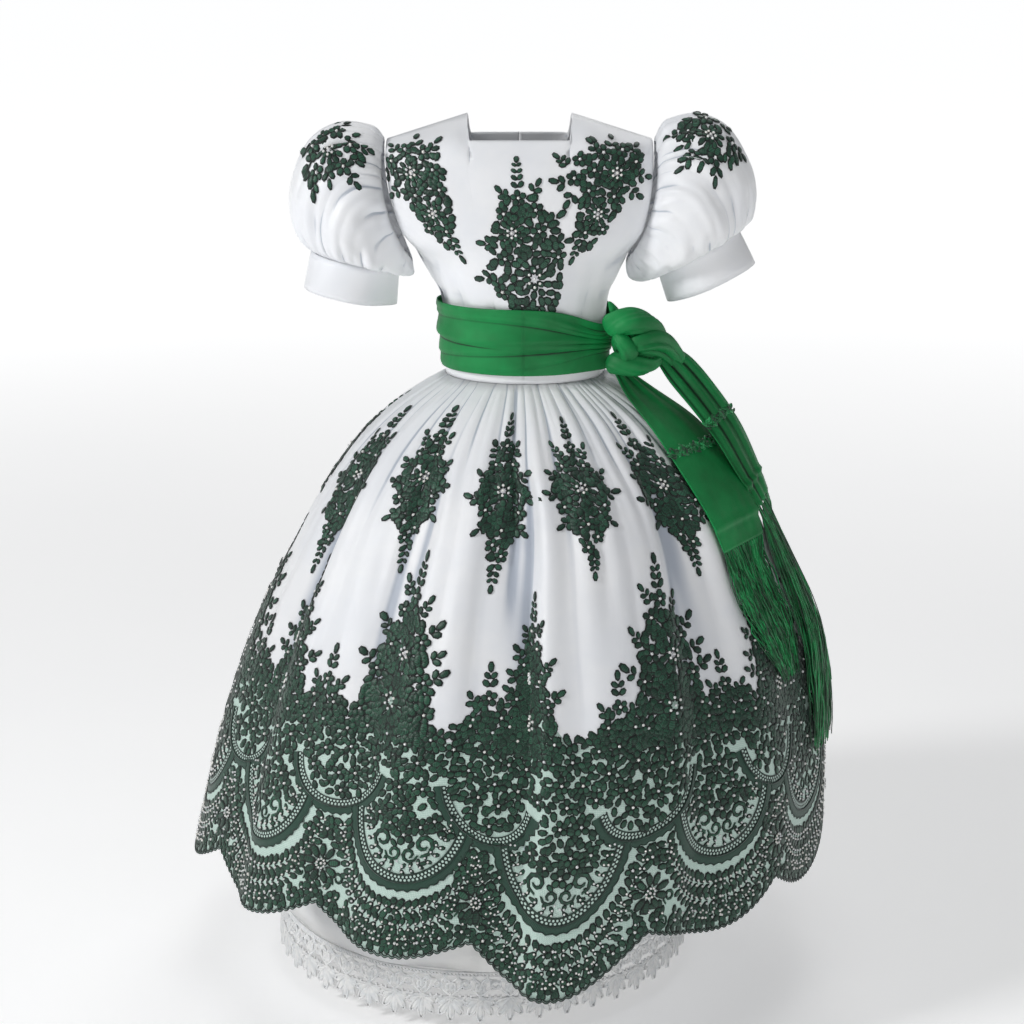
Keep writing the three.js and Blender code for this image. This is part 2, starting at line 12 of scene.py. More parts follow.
import bpy
import numpy as np
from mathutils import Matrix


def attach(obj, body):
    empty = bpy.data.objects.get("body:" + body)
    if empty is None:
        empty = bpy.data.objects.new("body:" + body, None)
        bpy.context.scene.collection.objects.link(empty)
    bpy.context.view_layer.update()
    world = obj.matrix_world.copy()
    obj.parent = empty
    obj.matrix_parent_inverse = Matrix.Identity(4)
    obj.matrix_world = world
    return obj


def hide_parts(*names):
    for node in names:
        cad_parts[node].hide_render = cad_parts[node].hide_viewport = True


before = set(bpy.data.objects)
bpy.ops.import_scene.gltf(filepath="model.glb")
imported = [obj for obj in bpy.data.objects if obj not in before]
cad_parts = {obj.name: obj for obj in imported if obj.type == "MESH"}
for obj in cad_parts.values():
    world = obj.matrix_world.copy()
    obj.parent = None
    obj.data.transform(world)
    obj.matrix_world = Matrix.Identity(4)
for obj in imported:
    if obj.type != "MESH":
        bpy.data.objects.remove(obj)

Array = np.ndarray
Number = Union[float, Array]
Colour = tuple[float, float, float]
Place = tuple[float, float, float]

BODY = "root"
MM = 0.001
SATIN_NEAR, SATIN_FAR = 0.3 * MM, 1.5 * MM
LACE_NEAR = 1.9 * MM
SEAM = 0.15 * MM
BELL_AREA = math.sqrt(math.pi)
HOLLOW_GAINS = ((3, 2.0), (6, 4.0), (18, 6.0))
FAR_REACH = 10
log = logging.getLogger("dress")


# ---- sums ---------------------------------------------------------------------------------------

def bell(distance: Number, width: Number) -> Number:
    """Soft bump, one at no distance, that fades over the width."""
    return np.exp(-((distance / width) ** 2))


def lopsided(distance: Array, before: Number, after: Number) -> Array:
    """Bump whose two flanks have widths of their own, so that one side of a fold is steep."""
    return bell(distance, np.where(distance < 0, before, after))


def ramp(low: float, high: float, value: Number) -> Number:
    """Smooth step from 0 at low to 1 at high."""
    t = np.clip((value - low) / (high - low), 0, 1)
    return t * t * (3 - 2 * t)


def wrapped(angle: Number) -> Number:
    """Angle in degrees brought between -180 and 180."""
    return (np.asarray(angle) + 180.0) % 360.0 - 180.0


def heading(degrees: Number) -> tuple:
    """Cosine and sine of a direction in degrees."""
    return math.cos(math.radians(degrees)), math.sin(math.radians(degrees))


def outwards(angle: Array) -> Array:
    """Level directions away from the body at angles round it."""
    return np.stack([np.sin(np.radians(angle)), -np.cos(np.radians(angle)), 0 * angle], -1)


def run_along(x: Array, y: Array) -> Array:
    """Distance from a flat line's start to each of its points."""
    return np.concatenate([[0], np.cumsum(np.hypot(np.diff(x), np.diff(y)))])


def measured(line: Array) -> Array:
    """Distance from a line's start to each of its points, for a table of points."""
    return np.concatenate([[0], np.cumsum(np.linalg.norm(np.diff(line, axis=0), axis=1))])


def through(knots: Sequence[float], values: Array, at: Array) -> Array:
    """Smooth curve through a table.

    Args:
        knots: increasing positions of the rows.
        values: one row of numbers for each knot.
        at: positions to read.

    Returns:
        One row of numbers for each position.
    """
    knots, values = np.asarray(knots, float), np.asarray(values, float)
    slopes = np.gradient(values, knots, axis=0)
    i = np.clip(np.searchsorted(knots, at) - 1, 0, len(knots) - 2)
    span = knots[i + 1] - knots[i]
    t = (at - knots[i]) / span
    shape = t.shape + (1,) * (values.ndim - 1)
    t, span = t.reshape(shape), span.reshape(shape)
    inside = np.clip(t, 0, 1)
    a, b = values[i], values[i + 1]
    ma, mb = slopes[i] * span, slopes[i + 1] * span
    u, v = inside * inside, inside ** 3
    curve = (2 * v - 3 * u + 1) * a + (v - 2 * u + inside) * ma + (3 * u - 2 * v) * b + (v - u) * mb
    return curve + (t - inside) * np.where(t < 0, ma, mb)


def seamed(points: Array) -> Array:
    """A panel's grid with its two side edges drawn in, which leaves room at the seams.

    Args:
        points: grid (columns, rows, 3); it is changed.

    Returns:
        The same grid.
    """
    for edge, inside in ((0, 1), (-1, -2)):
        points[edge] += unit(points[inside] - points[edge]) * SEAM
    return points


def unit(vectors: Array) -> Array:
    """Vectors with a length of one."""
    return vectors / np.maximum(np.linalg.norm(vectors, axis=-1, keepdims=True), 1e-12)


# ---- meshes -------------------------------------------------------------------------------------

def placed(name: str, data: object) -> bpy.types.Object:
    """Puts a mesh, a light or a camera in the scene as an object at the origin.

    Args:
        name: the object's name.
        data: its mesh, light or camera data.

    Returns:
        The linked object.
    """
    item = bpy.data.objects.new(name, data)
    bpy.context.scene.collection.objects.link(item)
    return item


def smoothed(mesh: bpy.types.Mesh) -> None:
    """Shades all of a mesh's faces smooth."""
    mesh.polygons.foreach_set("use_smooth", np.full(len(mesh.polygons), True))


def set_number(mesh: bpy.types.Mesh, name: str, values: Array) -> None:
    """Writes one number for each vertex."""
    mesh.attributes.new(name, "FLOAT", "POINT").data.foreach_set("value", np.asarray(values, np.float32))


def mesh_piece(name: str, points: Array, faces: Sequence[Array], uv: Optional[Array] = None,
               floats: Optional[dict[str, Array]] = None) -> bpy.types.Object:
    """Makes a mesh object at the origin.

    Args:
        name: the piece's name.
        points: one row for each vertex.
        faces: arrays of vertex numbers, each array with faces of one size.
        uv: one pair for each vertex.
        floats: named numbers, one for each vertex.

    Returns:
        The linked object.
    """
    mesh = bpy.data.meshes.new(name)
    faces = [np.asarray(f, np.int32) for f in faces if len(f)]
    loops = np.concatenate([f.ravel() for f in faces])
    sizes = np.concatenate([np.full(len(f), f.shape[1], np.int32) for f in faces])
    mesh.vertices.add(len(points))
    mesh.vertices.foreach_set("co", np.asarray(points, np.float32).ravel())
    mesh.loops.add(len(loops))
    mesh.loops.foreach_set("vertex_index", loops)
    mesh.polygons.add(len(sizes))
    mesh.polygons.foreach_set("loop_start", np.concatenate([[0], np.cumsum(sizes)[:-1]]).astype(np.int32))
    smoothed(mesh)
    if uv is not None:
        layer = mesh.uv_layers.new(name="UVMap")
        layer.data.foreach_set("uv", np.asarray(uv, np.float32)[loops].ravel())
    for key, values in (floats or {}).items():
        set_number(mesh, key, values)
    mesh.update(calc_edges=True)
    return placed(name, mesh)


def grid_faces(columns: int, rows: int, closed: bool = False) -> Array:
    """Quads of a grid whose columns run round the body and whose rows run down it, facing out.

    Args:
        columns: points round the grid.
        rows: points down it.
        closed: whether the last column joins the first.

    Returns:
        Rows of four vertex numbers.
    """
    i, k = np.meshgrid(np.arange(columns if closed else columns - 1), np.arange(rows - 1), indexing="ij")
    j = (i + 1) % columns
    return np.stack([i * rows + k, i * rows + k + 1, j * rows + k + 1, j * rows + k], -1).reshape(-1, 4)


def grid_normals(points: Array, closed: bool) -> Array:
    """Outward normals of a grid of points (columns, rows, 3).

    Args:
        points: the grid.
        closed: whether the columns go all round.

    Returns:
        Grid of directions with a length of one.
    """
    if closed:
        along = np.roll(points, -1, 0) - np.roll(points, 1, 0)
    else:
        along = np.gradient(points, axis=0)
    return unit(np.cross(np.gradient(points, axis=1), along))


def blurred(grid: Array, reach: int, closed: bool) -> Array:
    """Grid averaged over a reach each way along its first axis.

    Args:
        grid: numbers or points.
        reach: rows taken in on each side.
        closed: whether the axis goes all round.

    Returns:
        Grid of the same size.
    """
    margin = [(reach, reach)] + [(0, 0)] * (grid.ndim - 1)
    wide = np.pad(grid, margin, "wrap") if closed else np.pad(grid, margin, "reflect", reflect_type="odd")
    total = np.concatenate([np.zeros_like(wide[:1]), np.cumsum(wide, 0)])
    return (total[2 * reach + 1:] - total[:-2 * reach - 1]) / (2 * reach + 1)


def hollows(points: Array, normals: Array, closed: bool) -> Array:
    """How deep each point of a grid lies between its neighbours, from 0 on a ridge to 1 in a fold; the cloth paints
    shade in its folds by it.

    Args:
        points: the grid (columns, rows, 3).
        normals: its outward directions.
        closed: whether the columns go all round.

    Returns:
        One number for each point.
    """
    total = np.zeros(points.shape[:2])
    for axis in (0, 1):
        grid, out = np.swapaxes(points, 0, axis), np.swapaxes(normals, 0, axis)
        step = np.linalg.norm(np.gradient(grid, axis=0), axis=-1) + 1e-6
        deep = np.zeros(grid.shape[:2])
        for reach, gain in HOLLOW_GAINS:
            if reach < len(grid) / 3 and (axis == 0 or reach < FAR_REACH):
                lower = blurred(grid, reach, closed and axis == 0) - grid
                deep += gain * np.einsum("ijk,ijk->ij", lower, out) / (reach * step)
        total += np.swapaxes(np.clip(deep - 0.15 * axis, -0.15, 1), 0, axis)
    return np.clip(total, 0, 1)


def shell(name: str, points: Array, near: float, far: Number, closed: bool = False,
          uv: Optional[Array] = None, turned: bool = False) -> bpy.types.Object:
    """Makes a closed cloth wall on a grid of points, with the share of painted fold shade at each vertex.

    Args:
        name: the piece's name.
        points: grid (columns, rows, 3), columns round the body and rows down it.
        near: distance of the inner face from the grid.
        far: distance of the outer face, one number or a grid of them.
        closed: whether the columns go all round.
        uv: grid (columns, rows, 2); left out, it is worked out in metres.
        turned: whether the grid runs the other way round, so that its faces are turned over.

    Returns:
        The wall.
    """
    columns, rows = points.shape[:2]
    normals = grid_normals(points, closed) * (-1 if turned else 1)
    far = np.broadcast_to(np.asarray(far, float), (columns, rows))[..., None]
    outer, inner = points + normals * far, points + normals * near
    count = columns * rows
    skin = grid_faces(columns, rows, closed)
    number = np.arange(count).reshape(columns, rows)
    rims = []
    ring = np.append(number[:, 0], number[0, 0]) if closed else number[:, 0]
    rims.append(np.stack([ring[:-1], ring[1:], ring[1:] + count, ring[:-1] + count], -1))
    ring = np.append(number[:, -1], number[0, -1]) if closed else number[:, -1]
    rims.append(np.stack([ring[1:], ring[:-1], ring[:-1] + count, ring[1:] + count], -1))
    if not closed:
        side = number[0]
        rims.append(np.stack([side[1:], side[:-1], side[:-1] + count, side[1:] + count], -1))
        side = number[-1]
        rims.append(np.stack([side[:-1], side[1:], side[1:] + count, side[:-1] + count], -1))
    faces = np.concatenate([skin, skin[:, ::-1] + count, *rims])
    if turned:
        faces = faces[:, ::-1]
    if uv is None:
        uv = metres_uv(points)
    flat = uv.reshape(-1, 2)
    # Painted shade: how deep each point lies in a fold, by which the cloth's colour is darkened.
    hollow = hollows(points + normals * far, normals, closed).ravel()
    return mesh_piece(name, np.concatenate([outer.reshape(-1, 3), inner.reshape(-1, 3)]), [faces],
                      np.concatenate([flat, flat]), {"hollow": np.concatenate([hollow, hollow])})


def metres_uv(points: Array) -> Array:
    """Flat coordinates of a grid in metres: u along the columns at two thirds down, v down the rows.

    Args:
        points: the grid (columns, rows, 3).

    Returns:
        Grid (columns, rows, 2).
    """
    columns, rows = points.shape[:2]
    u = measured(points[:, rows * 2 // 3])
    v = np.concatenate([np.zeros((columns, 1)),
                        np.cumsum(np.linalg.norm(np.diff(points, axis=1), axis=2), axis=1)], 1)
    return np.stack([np.broadcast_to(u[:, None], (columns, rows)), -v], -1)


def dress(piece: bpy.types.Object, material: bpy.types.Material, slot: str, *nodes: str) -> bpy.types.Object:
    """Gives a piece its finish, and its place in the frame.

    Args:
        piece: the finished piece.
        material: its finish.
        slot: the name of a material slot; not used.
        nodes: the CAD nodes that it stands for.

    Returns:
        The piece.
    """
    piece.data.materials.clear()
    piece.data.materials.append(material)
    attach(piece, BODY)
    if nodes:
        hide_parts(*nodes)
    log.info("%s: %d faces", piece.name, len(piece.data.polygons))
    return piece


# ---- node trees ---------------------------------------------------------------------------------

class Graph:
    """A node tree that is being written."""

    def __init__(self, tree: bpy.types.NodeTree) -> None:
        """Keeps the tree."""
        self.tree = tree

    def add(self, kind: str, inputs: Optional[dict] = None, **settings: object) -> bpy.types.Node:
        """Adds a node.

        Args:
            kind: the node's type.
            inputs: values or output sockets by input name or number.
            settings: the node's own properties.

        Returns:
            The node.
        """
        node = self.tree.nodes.new(kind)
        for key, value in settings.items():
            setattr(node, key, value)
        for key, value in (inputs or {}).items():
            if isinstance(value, bpy.types.NodeSocket):
                self.tree.links.new(value, node.inputs[key])
            else:
                node.inputs[key].default_value = value
        return node

    def maths(self, operation: str, first: object, second: object = 0.0) -> bpy.types.NodeSocket:
        """Output of a Math node on two values or sockets."""
        return self.add("ShaderNodeMath", {0: first, 1: second}, operation=operation).outputs[0]

    def spread(self, value: bpy.types.NodeSocket, low: float, high: float, to_low: float = 0.0,
               to_high: float = 1.0) -> bpy.types.NodeSocket:
        """Output of a smooth Map Range node."""
        return self.add("ShaderNodeMapRange", {0: value, 1: low, 2: high, 3: to_low, 4: to_high},
                        interpolation_type="SMOOTHSTEP").outputs[0]

    def blend(self, share: object, first: object, second: object) -> bpy.types.NodeSocket:
        """Output of a Mix node between two colours."""
        return self.add("ShaderNodeMix", {0: share, 6: first, 7: second}, data_type="RGBA").outputs[2]


def new_group(name: str, inputs: Sequence[tuple[str, str, object]],
              outputs: Sequence[tuple[str, str]]) -> tuple[Graph, bpy.types.Node, bpy.types.Node]:
    """Starts a shader node group.

    Args:
        name: the group's name.
        inputs: name, socket type and default value of each input.
        outputs: name and socket type of each output.

    Returns:
        The graph with its input and output nodes.
    """
    tree = bpy.data.node_groups.new(name, "ShaderNodeTree")
    for label, kind, value in inputs:
        made = tree.interface.new_socket(name=label, in_out="INPUT", socket_type=kind)
        if value is not None:
            made.default_value = value
    for label, kind in outputs:
        tree.interface.new_socket(name=label, in_out="OUTPUT", socket_type=kind)
    graph = Graph(tree)
    return graph, graph.add("NodeGroupInput"), graph.add("NodeGroupOutput")


FLOAT, VECTOR = "NodeSocketFloat", "NodeSocketVector"


class Effects:
    """The shader node groups that several finishes share."""

    def __init__(self) -> None:
        """Builds each group once."""
        self.weave = self._weave()
        self.mottle = self._mottle()
        self.crumple = self._crumple()

    def _weave(self) -> bpy.types.NodeTree:
        """Plain weave: crossing threads as a height.

        Returns:
            The group.
        """
        graph, into, out = new_group("thread weave", [("Vector", VECTOR, None), ("Threads per metre", FLOAT, 1500.0),
                                                      ("Weft share", FLOAT, 1.0)], [("Height", FLOAT)])
        parts = graph.add("ShaderNodeSeparateXYZ", {0: into.outputs["Vector"]})
        waves = []
        for axis in ("X", "Y"):
            phase = graph.maths("MULTIPLY", parts.outputs[axis], into.outputs["Threads per metre"])
            waves.append(graph.maths("SINE", graph.maths("MULTIPLY", phase, math.tau)))
        weft = graph.maths("MULTIPLY", waves[1], into.outputs["Weft share"])
        graph.tree.links.new(graph.maths("ADD", waves[0], weft), out.inputs["Height"])
        return graph.tree

    def _mottle(self) -> bpy.types.NodeTree:
        """Slow uneven tone, for colour and roughness.

        Returns:
            The group.
        """
        graph, into, out = new_group("uneven tone", [("Vector", VECTOR, None), ("Scale", FLOAT, 12.0),
                                                     ("Low", FLOAT, 0.4), ("High", FLOAT, 0.6)], [("Tone", FLOAT)])
        noise = graph.add("ShaderNodeTexNoise", {"Vector": into.outputs["Vector"], "Scale": into.outputs["Scale"],
                                                 "Detail": 4.0, "Roughness": 0.6})
        tone = graph.add("ShaderNodeMapRange", {0: noise.outputs[0], 1: into.outputs["Low"],
                                                2: into.outputs["High"], 3: 0.0, 4: 1.0})
        graph.tree.links.new(tone.outputs[0], out.inputs["Tone"])
        return graph.tree

    def _crumple(self) -> bpy.types.NodeTree:
        """Small soft dents of handled cloth, as a height.

        Returns:
            The group.
        """
        graph, into, out = new_group("handled cloth", [("Vector", VECTOR, None), ("Scale", FLOAT, 20.0),
                                                       ("Stretch", FLOAT, 0.35)], [("Height", FLOAT)])
        squash = graph.add("ShaderNodeCombineXYZ", {0: 1.0, 1: into.outputs["Stretch"], 2: 1.0})
        moved = graph.add("ShaderNodeVectorMath", {0: into.outputs["Vector"], 1: squash.outputs[0]},
                          operation="MULTIPLY")
        noise = graph.add("ShaderNodeTexNoise", {"Vector": moved.outputs[0], "Scale": into.outputs["Scale"],
                                                 "Detail": 3.0, "Roughness": 0.5, "Distortion": 0.4})
        graph.tree.links.new(noise.outputs[0], out.inputs["Height"])
        return graph.tree

    def use(self, graph: Graph, group: bpy.types.NodeTree, inputs: dict) -> bpy.types.NodeSocket:
        """Places a group in a material and returns its first output."""
        return graph.add("ShaderNodeGroup", inputs, node_tree=group).outputs[0]


class MaterialDraft:
    """A material with its Principled shader and the coordinates that it reads."""

    def __init__(self, name: str, **constants: object) -> None:
        """Starts the material and sets the shader's constant sockets (spaces as underscores).

        Args:
            name: the material's name.
            constants: values of the shader's sockets.
        """
        self.material = bpy.data.materials.new(name)
        self.material.use_nodes = True
        self.graph = Graph(self.material.node_tree)
        self.shader = self.material.node_tree.nodes["Principled BSDF"]
        for key, value in constants.items():
            self.shader.inputs[key.replace("_", " ")].default_value = value
        self.uv = self.graph.add("ShaderNodeUVMap", uv_map="UVMap").outputs[0]
        self.place = self.graph.add("ShaderNodeTexCoord").outputs["Object"]

    def feed(self, name: str, socket: bpy.types.NodeSocket) -> None:
        """Links a socket into the shader."""
        self.material.node_tree.links.new(socket, self.shader.inputs[name])

    def bump(self, layers: Sequence[tuple[bpy.types.NodeSocket, float, float]]) -> None:
        """Stacks bumps, each a height with its strength and its depth in metres.

        Args:
            layers: height, strength and depth of each bump, lowest first.
        """
        normal = None
        for height, strength, distance in layers:
            inputs = {"Height": height, "Strength": strength, "Distance": distance}
            if normal is not None:
                inputs["Normal"] = normal
            normal = self.graph.add("ShaderNodeBump", inputs).outputs[0]
        self.feed("Normal", normal)


def rgba(colour: Colour) -> tuple[float, float, float, float]:
    """Screen colour (0 to 255) as a linear colour."""
    linear = [(c / 255 / 12.92) if c <= 10 else ((c / 255 + 0.055) / 1.055) ** 2.4 for c in colour]
    return (*linear, 1.0)


@dataclass(frozen=True)
class Cloth:
    """Woven cloth: satin, cotton or the sash's cloth, with painted shade in its folds."""

    name: str
    colour: Colour
    shaded: Colour
    roughness: float
    sheen: float
    threads: float
    weave_depth: float
    dents: float
    specular: float = 0.5
    # Colour of the painted shade in the folds, blended in by the mesh's fold attribute.
    hollow: Colour = (176, 184, 197)

    def make(self, effects: Effects) -> bpy.types.Material:
        """Builds the material.

        Args:
            effects: the shared node groups.

        Returns:
            The material.
        """
        draft = MaterialDraft(self.name, Roughness=self.roughness, Sheen_Weight=self.sheen,
                              Specular_IOR_Level=self.specular, Sheen_Roughness=0.4)
        graph = draft.graph
        tone = effects.use(graph, effects.mottle, {"Vector": draft.place, "Scale": 9.0})
        plain = graph.blend(tone, rgba(self.colour), rgba(self.shaded))
        # Painted shade: the colour turns towards the painted fold-shade colour where the cloth lies deep in a fold.
        deep = graph.add("ShaderNodeAttribute", attribute_name="hollow").outputs["Fac"]
        draft.feed("Base Color", graph.blend(graph.spread(deep, 0.03, 1.0), plain, rgba(self.hollow)))
        gloss = effects.use(graph, effects.mottle, {"Vector": draft.place, "Scale": 30.0})
        draft.feed("Roughness", graph.spread(gloss, 0, 1, self.roughness - 0.04, self.roughness + 0.05))
        weave = effects.use(graph, effects.weave, {"Vector": draft.uv, "Threads per metre": self.threads})
        crumple = effects.use(graph, effects.crumple, {"Vector": draft.uv, "Scale": 26.0})
        draft.bump([(crumple, 0.5, self.dents), (weave, 0.35, self.weave_depth)])
        return draft.material


# ---- forms --------------------------------------------------------------------------------------

class Form:
    """A smooth cloth surface addressed by two numbers: a round the body, and b up it."""

    a_step = 0.05
    b_step = 0.0005
    outward = 1.0
    limit = math.inf
    top = math.inf

    def at(self, a: Array, b: Array) -> Array:
        """Points of the surface."""
        raise NotImplementedError

    def frame(self, a: Array, b: Array) -> tuple[Array, Array, Array, Array]:
        """Points, outward normals, and metres for one step of a and of b.

        Args:
            a: places round the form.
            b: places up the form.

        Returns:
            Points, normals, and the two lengths.
        """
        across = (self.at(a + self.a_step, b) - self.at(a - self.a_step, b)) / (2 * self.a_step)
        along = (self.at(a, b + self.b_step) - self.at(a, b - self.b_step)) / (2 * self.b_step)
        normal = unit(np.cross(across, along)) * self.outward
        return self.at(a, b), normal, np.linalg.norm(across, axis=-1), np.linalg.norm(along, axis=-1)

    def move(self, a: Number, b: Number, x: Number, y: Number) -> tuple[Array, Array]:
        """Where x metres along and y metres up from a place lie, as a and b.

        Args:
            a: where to start, round the form.
            b: where to start, up the form.
            x: metres along the cloth.
            y: metres up the cloth.

        Returns:
            The places a and b.
        """
        a, b, x, y = np.broadcast_arrays(*(np.asarray(v, float) for v in (a, b, x, y)))
        first = self.frame(a, b)[3]
        middle = self.frame(a, b + y / first / 2)[3]
        up = b + y / middle
        return a + x / self.frame(a, up)[2], up


@dataclass(frozen=True)
class Fold:
    """Hollow between two rounded pleats: angles at the top and the hem, depth in mm, flank widths."""

    top: float
    hem: float
    depth: float
    before: float = 11.0
    after: float = 11.0


@dataclass(frozen=True)
class Crease:
    """Soft trough (or ridge, where depth is negative) between two places on a form."""

    a_from: float
    b_from: float
    a_to: float
    b_to: float
    width: float
    depth: float
    lean: float = 0.0

    def depth_at(self, a: Array, b: Array) -> Array:
        """Depth in metres at places of a form whose a is an angle.

        Args:
            a: angles in degrees.
            b: levels.

        Returns:
            Depths, one for each place.
        """
        t = (b - self.b_from) / (self.b_to - self.b_from)
        away = wrapped(a - (self.a_from + (self.a_to - self.a_from) * t))
        ends = ramp(-0.25, 0.25, t) * (1 - ramp(0.7, 1.2, t))
        return self.depth * MM * lopsided(away, self.width * (1 + self.lean), self.width * (1 - self.lean)) * ends


@dataclass
class SkirtForm(Form):
    """The bell skirt's surface: a is the angle from the front in degrees, b the height in metres."""

    rows: tuple = ((-287, 82, 94, 74), (-316, 129, 146, 124), (-352, 170, 190, 167), (-392, 202, 231, 203),
                   (-436, 230, 260, 232), (-480, 254, 279, 256), (-530, 280, 301, 281), (-580, 301, 320, 302),
                   (-685, 338, 343, 338), (-796, 367, 348, 361))
    fold_starts: float = -0.300
    hem: float = -0.796
    fold_mean: float = 9.5
    folds: tuple = (Fold(-90, -86, 12, 10, 8), Fold(-63, -57, 25, 11, 4.5), Fold(-29, -31, 23, 11, 4.5),
                    Fold(-1, 1, 31, 13, 2.0), Fold(37, 33, 24, 4.5, 11), Fold(64, 62, 13, 8, 10),
                    Fold(90, 89, 18, 6, 11), Fold(117, 116, 22, 11, 5), Fold(143, 145, 15, 9, 9),
                    Fold(172, 170, 24, 4.5, 11), Fold(199, 198, 18, 11, 6), Fold(226, 224, 22, 5, 11),
                    Fold(250, 251, 14, 10, 8))
    # Creases: angle at the top, angle and height of the lower end, width in degrees, depth in mm and lean.
    crease_top: float = -0.29
    creases: tuple = (
        (-76, -73, -0.62, 3.6, 6, 0.3), (-50, -46, -0.66, 3.2, 5.5, -0.3),
        (-43, -38, -0.52, 2.8, 5, 0.2), (-36, -33, -0.60, 2.4, 4, 0.0),
        (-21, -20, -0.58, 3.0, 5, 0.3), (-13, -11, -0.70, 2.8, 5.5, -0.2),
        (-6, -5, -0.48, 2.0, 4, 0.0), (9, 10, -0.66, 3.2, 5.5, 0.3),
        (16, 17, -0.50, 2.4, 4, 0.0), (24, 23, -0.68, 3.0, 5.5, -0.3),
        (31, 28, -0.55, 2.4, 4.5, 0.2), (46, 44, -0.62, 3.2, 5, 0.3),
        (55, 52, -0.56, 2.6, 4.5, 0.0), (77, 75, -0.62, 3.2, 5, 0.2),
        (101, 103, -0.60, 3.2, 5.5, -0.3), (109, 108, -0.50, 2.4, 4, 0.0),
        (129, 131, -0.66, 3.2, 5.5, 0.3), (136, 137, -0.50, 2.4, 4, 0.0),
        (156, 155, -0.60, 3.0, 5, 0.2), (164, 163, -0.52, 2.4, 4, 0.0),
        (184, 185, -0.68, 3.2, 5.5, -0.3), (192, 191, -0.50, 2.4, 4, 0.0),
        (211, 210, -0.62, 3.2, 5.5, 0.3), (218, 218, -0.50, 2.4, 4, 0.0),
        (237, 238, -0.64, 3.0, 5, 0.0), (245, 244, -0.52, 2.4, 4, 0.0),
        (262, 262, -0.60, 3.0, 5, 0.2))
    hem_share: float = 0.55
    gather_count: int = 84
    seed: int = 11
    tall_points: tuple = (-19, -13, -6, 0, 7, 13, 19, 25, 31, 37, 43, 49, 55)
    column: float = 4.5
    tip_lead: float = 7.0
    scallop: float = 32.0
    dip: float = 38.0
    dip_angle: float = 7.0
    dip_width: float = 14.0

    def __post_init__(self) -> None:
        """Works out the section table and the waist gathers."""
        table = np.array(self.rows, float)[::-1] * MM
        self._z = table[:, 0]
        self._section = np.stack([(table[:, 1] + table[:, 2]) / 2, (table[:, 2] - table[:, 1]) / 2, table[:, 3]], 1)
        r = np.random.default_rng(self.seed)
        n = self.gather_count
        self._gathers = np.stack([np.arange(n) * 360 / n + r.uniform(-1.3, 1.3, n), r.uniform(0.9, 1.7, n),
                                  r.uniform(0.05, 0.24, n), r.uniform(2.2, 5.4, n) * MM, r.uniform(-16, 16, n)], 1)

    def tips(self) -> Array:
        """Angles of the scallops' lowest points."""
        return np.array(self.tall_points) * self.column + self.tip_lead

    def hem_line(self, angle: Number) -> Array:
        """Height of the hem between scallops, with the dip at the front."""
        return self.hem - self.dip * MM * bell(wrapped(np.asarray(angle) - self.dip_angle), self.dip_width)

    def hem_at(self, angle: Number) -> Array:
        """Height of the scalloped hem.

        Args:
            angle: angles from the front in degrees.

        Returns:
            Heights in metres.
        """
        angle = np.asarray(angle, float)
        away = np.sort(np.abs(wrapped(angle[..., None] - self.tips())), axis=-1)
        share = np.minimum(1, 2 * away[..., 0] / (away[..., 0] + away[..., 1]))
        return self.hem_line(angle) - self.scallop * MM * np.cos(np.pi / 2 * share)

    def depth(self, angle: Array, z: Array) -> Array:
        """How far the folds, gathers and creases draw the surface in.

        Args:
            angle: angles from the front in degrees.
            z: heights in metres.

        Returns:
            Depths in metres.
        """
        fall = (z - self.fold_starts) / (self.hem - self.fold_starts)
        swell = np.clip(fall * 4, 0, 1) * (1 + (self.hem_share - 1) * np.clip(fall, 0, 1))
        total = np.full(np.broadcast(angle, z).shape, -self.fold_mean * MM)
        for fold in self.folds:
            away = wrapped(angle - (fold.top + (fold.hem - fold.top) * fall))
            total = total + fold.depth * MM * lopsided(away, fold.before, fold.after)
        total = total * swell
        down = np.maximum(self._z[-1] - z, 0)
        for middle, width, length, deep, slant in self._gathers:
            near = wrapped(angle - middle - slant * down)
            fade = np.exp(-(down / length) ** 1.4) * ramp(0, 0.012, down)
            wide = width + 5 * down
            total = total + deep * fade * (bell(near, wide) - wide * BELL_AREA / 360)
        for top_angle, *others in self.creases:
            total = total + Crease(top_angle, self.crease_top, *others).depth_at(angle, z)
        return total

    def at(self, a: Array, b: Array) -> Array:
        """Points of the skirt.

        Args:
            a: angles from the front in degrees.
            b: heights in metres.

        Returns:
            Points in metres, one for each place.
        """
        a, b = np.broadcast_arrays(np.asarray(a, float), np.asarray(b, float))
        half, centre, depth = np.moveaxis(through(self._z, self._section, b), -1, 0)
        inward = self.depth(a, b)
        s, c = np.sin(np.radians(a)), np.cos(np.radians(a))
        return np.stack([centre + (half - inward) * s, -(depth - inward) * c, b], -1)


class Side(Enum):
    """Which half of the bodice."""

    FRONT = -1
    BACK = 1


# Creases of the bodice's front and back: x and z of the start and of the end, width and depth, in mm.
FRONT_CREASES = (
    (-78, -150, -52, -236, 7, 4.3), (-94, -140, -76, -228, 6, 3.5), (-30, -190, -24, -262, 6, 2.9),
    (84, -150, 62, -240, 7, 4.3), (100, -142, 82, -226, 6, 3.5), (44, -196, 36, -262, 6, 2.9),
    (-128, -128, -84, -176, 6, 3.8), (130, -128, 92, -172, 6, 3.8), (-66, -62, -40, -92, 10, 1.1),
    (70, -60, 46, -94, 10, 1.1))
BACK_CREASES = (
    (-80, -150, -50, -240, 7, 4.1), (84, -146, 56, -240, 7, 4.1), (-110, -110, -70, -150, 8, 3.5),
    (112, -108, 76, -152, 8, 3.5), (-34, -180, -22, -262, 6, 2.6), (40, -184, 26, -262, 6, 2.6))


